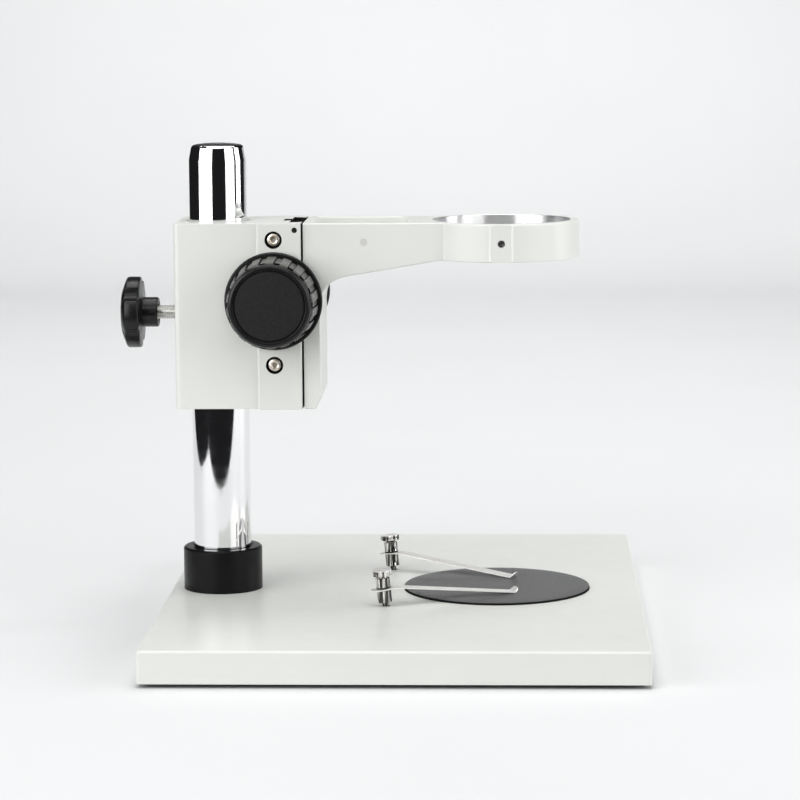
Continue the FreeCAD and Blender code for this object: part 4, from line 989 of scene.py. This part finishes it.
def build_arm():
    """Casting: slide block, tapering arm with a rounded well on top, and the bored ring."""
    least, most = (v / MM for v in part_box("arm_casting"))
    ring = ring_at / MM
    half, front, under, back = 29.0, -31.5, 205.3, least.x
    ring_out, bore_r, facet_y = 43, 38, 42.6
    profile = [(back, least.z, 0), (front - 2.8, least.z, 1.0), (front, least.z + 6.9, 4.0),
               (front, 194.45, 18.0), (33.3, under, 14), (ring.x, under, 0), (ring.x, most.z, 0),
               (back, most.z, 0)]
    casting = slab("arm_block", soften(profile, 0, 10, closed=True), "XZ", -half, half)

    def outer_edge(first, second):
        """The long edges of both sides, but not those at the slide or inside the ring."""
        same = abs(first.y - second.y) < SAME
        behind = max(first.x, second.x) < back + 0.01
        inside = min(first.x, second.x) > ring.x - 0.01
        return same and not behind and not inside

    bevel_edges(casting, 1.5, outer_edge, 5)
    tall = most.z - under
    band = [(36.5, 0, 0), (ring_out, 0, 0.6), (ring_out, tall, 1.3), (36.5, tall, 0)]
    ring_foot = Vector((ring.x, ring.y, under)) * MM
    bm = bmesh.new()
    close_ring(bm, spin(bm, soften(band, 0, 6, closed=True), ring_foot, "Z", 240))
    combine(casting, [to_object("ring_band", bm)], "UNION")
    bore = [(0, -1), (39.4, -1), (bore_r, 0.4), (bore_r, tall - 0.35), (39.35, tall + 1),
            (0, tall + 1)]
    plug, lock = middle("arm_plug") / MM, middle("ring_set_screw") / MM
    tools = [
        lofted_tool(well_layers(most.z)),
        turned_tool(bore, ring_foot, "Z", 240),
        block(ring.x - 12, ring.x + 12, -facet_y - 2, -facet_y, under - 1, most.z + 1),
        drill(2.0, 8, plug.x, -half - 1, plug.z, "Y"),
        drill(2.0, 10, ring.x, -44, lock.z, "Y"),
    ]
    for y in (-10.5, 10.5):
        for z in (140, 203):
            tools.append(drill(2.02, 10, back - 1, y, z, "X"))
    combine(casting, tools, "DIFFERENCE")
    rib_x = 5.9
    ribs = [drill(0.45, tall - 2.4, ring.x + x, -42.45, under + 0.9, "Z", 16)
            for x in (-rib_x, rib_x)]
    combine(casting, ribs, "UNION")
    tidy_normals(casting)
    casting.data.materials.append(finish["arm_paint"])

    def facet_highlight_faces(c):
        """Painted highlight: the pale edges on both sides of the ring's small flat."""
        return (c.y < -42.3 and rib_x - 0.7 < abs(c.x - ring.x) < rib_x + 0.7
                and under + 0.8 < c.z < most.z - 0.8)

    # Painted highlight: a lighter copy of the paint beside the flat's edges.
    recolour(casting, paint("facet_painted_highlight", 1.16), facet_highlight_faces)
    # Painted shade: the slide's back face is black, so that the gap to the housing reads dark.
    recolour(casting, finish["black_steel"], lambda c: c.x < back + 0.02)
    install(casting, "arm_casting")


ring_at = Vector(next(m for m in record["mounts"] if m["name"] == "head_ring")["pos_m"])
bore_reach, bore_low = 38.2 * MM, 0.2  # just outside the bore, and just under the arm
bare_bore(finish["arm_paint"], ring_at, bore_reach, bore_low, high("arm_casting").z - 0.00001)

build_pole()
build_collar()
build_stage()
build_clamp()
for side in ("near", "far"):
    build_focus_knob(side)
    build_clip(side)
build_side_screws()
build_base()
build_housing()
build_arm()


# ---------------------------------------------------------------- floor, backdrop, lights, camera

def build_sweep():
    """White paper sweep: flat under the stand, curving up behind it, narrower on the left."""
    front, back, right, lift, bend, under = -0.395, 1.95, 2.2, 0.75, 0.45, -0.0002
    line = [(y, under) for y in (front, -0.32, -0.19, 0.0, 1.0)]
    for i in range(25):
        angle = math.pi / 2 * i / 24
        line.append((back + bend * math.sin(angle), bend * (1 - math.cos(angle)) + under))
    line.append((back + bend, lift))
    # The left edge decides where the dark wedge in the pole's reflection ends.
    left_at = {front: -0.50, -0.32: -0.53, -0.19: -0.57}
    bm = bmesh.new()
    rows = []
    for y, z in line:
        left = left_at.get(y, -0.60 - 0.29 * y)
        rows.append([bm.verts.new((left + (right - left) * share / 3, y, z))
                     for share in range(4)])
    for first, second in zip(rows, rows[1:]):
        for i in range(3):
            bm.faces.new([first[i], first[i + 1], second[i + 1], second[i]])
    mesh = bpy.data.meshes.new("paper")
    bm.to_mesh(mesh)
    bm.free()
    mesh.polygons.foreach_set("use_smooth", [True] * len(mesh.polygons))
    paper = bpy.data.objects.new("paper_sweep", mesh)
    bpy.context.scene.collection.objects.link(paper)
    mat, tree, out = shader("paper")
    colour = blend_colours(tree, spread(tree, noise(tree, 3, 2), 0, 1), (0.735, 0.74, 0.745),
                           (0.72, 0.725, 0.73))
    tree.links.new(colour, out.inputs["Base Color"])
    out.inputs["Roughness"].default_value = 0.7
    out.inputs["Specular IOR Level"].default_value = 0.15
    mesh.materials.append(mat)


def softbox(name, at, target, wide, tall, power):
    """A rectangular light, with its power in watts."""
    light = bpy.data.lights.new(name, "AREA")
    light.shape = "RECTANGLE"
    light.size, light.size_y = wide, tall
    light.energy = power
    thing = bpy.data.objects.new(name, light)
    bpy.context.scene.collection.objects.link(thing)
    thing.location = at
    thing.rotation_euler = (Vector(target) - Vector(at)).to_track_quat("-Z", "Y").to_euler()


def build_lights():
    """Two boxes that make the pole's white bands, fills, and a dark world for its black ones."""
    centre, over_pole = (-0.03, 0, 0.15), (-0.09, 0, 0.50)
    softbox("left_box", (-0.967, -0.847, 0.58), over_pole, 1.30, 1.0, 16)
    softbox("right_box", (0.904, -0.673, 0.58), over_pole, 0.83, 1.0, 6.25)
    softbox("side_fill", (1.25, 0.12, 0.5), (0.0, 0, 0.3), 0.5, 0.8, 6)
    softbox("top_box", (0.0, 0.0, 1.9), centre, 1.8, 1.6, 24.5)
    softbox("high_front", (0.05, -1.5, 1.55), centre, 1.4, 0.7, 7.25)
    softbox("back_wash", (0.0, 0.9, 1.9), (0.0, 2.2, 1.0), 2.4, 0.6, 41)
    world = bpy.data.worlds.new("studio")
    bpy.context.scene.world = world
    world.use_nodes = True
    sky = world.node_tree.nodes["Background"]
    sky.inputs["Color"].default_value = (0.012, 0.012, 0.013, 1)
    sky.inputs["Strength"].default_value = 1.0


def build_camera():
    """Pinhole pose worked out from the base's straight edges."""
    yaw, pitch, roll = -0.0386, 0.1318, -0.0065
    ahead = Vector((math.sin(yaw) * math.cos(pitch), math.cos(yaw) * math.cos(pitch),
                    -math.sin(pitch)))
    right = Vector((math.cos(yaw), -math.sin(yaw), 0))
    up = right.cross(ahead)
    across = right * math.cos(roll) + up * math.sin(roll)
    above = up * math.cos(roll) - right * math.sin(roll)
    data = bpy.data.cameras.new("camera")
    data.lens = 134.15
    data.sensor_width = 36.0
    data.clip_end = 20
    camera = bpy.data.objects.new("camera", data)
    bpy.context.scene.collection.objects.link(camera)
    place = Matrix.Identity(4)
    for row in range(3):
        place[row][0], place[row][1], place[row][2] = across[row], above[row], -ahead[row]
    place.translation = Vector((0.07418, -1.64602, 0.34355))
    camera.matrix_world = place
    bpy.context.scene.camera = camera


build_sweep()
build_lights()
build_camera()
bpy.context.scene.view_settings.view_transform = "Standard"
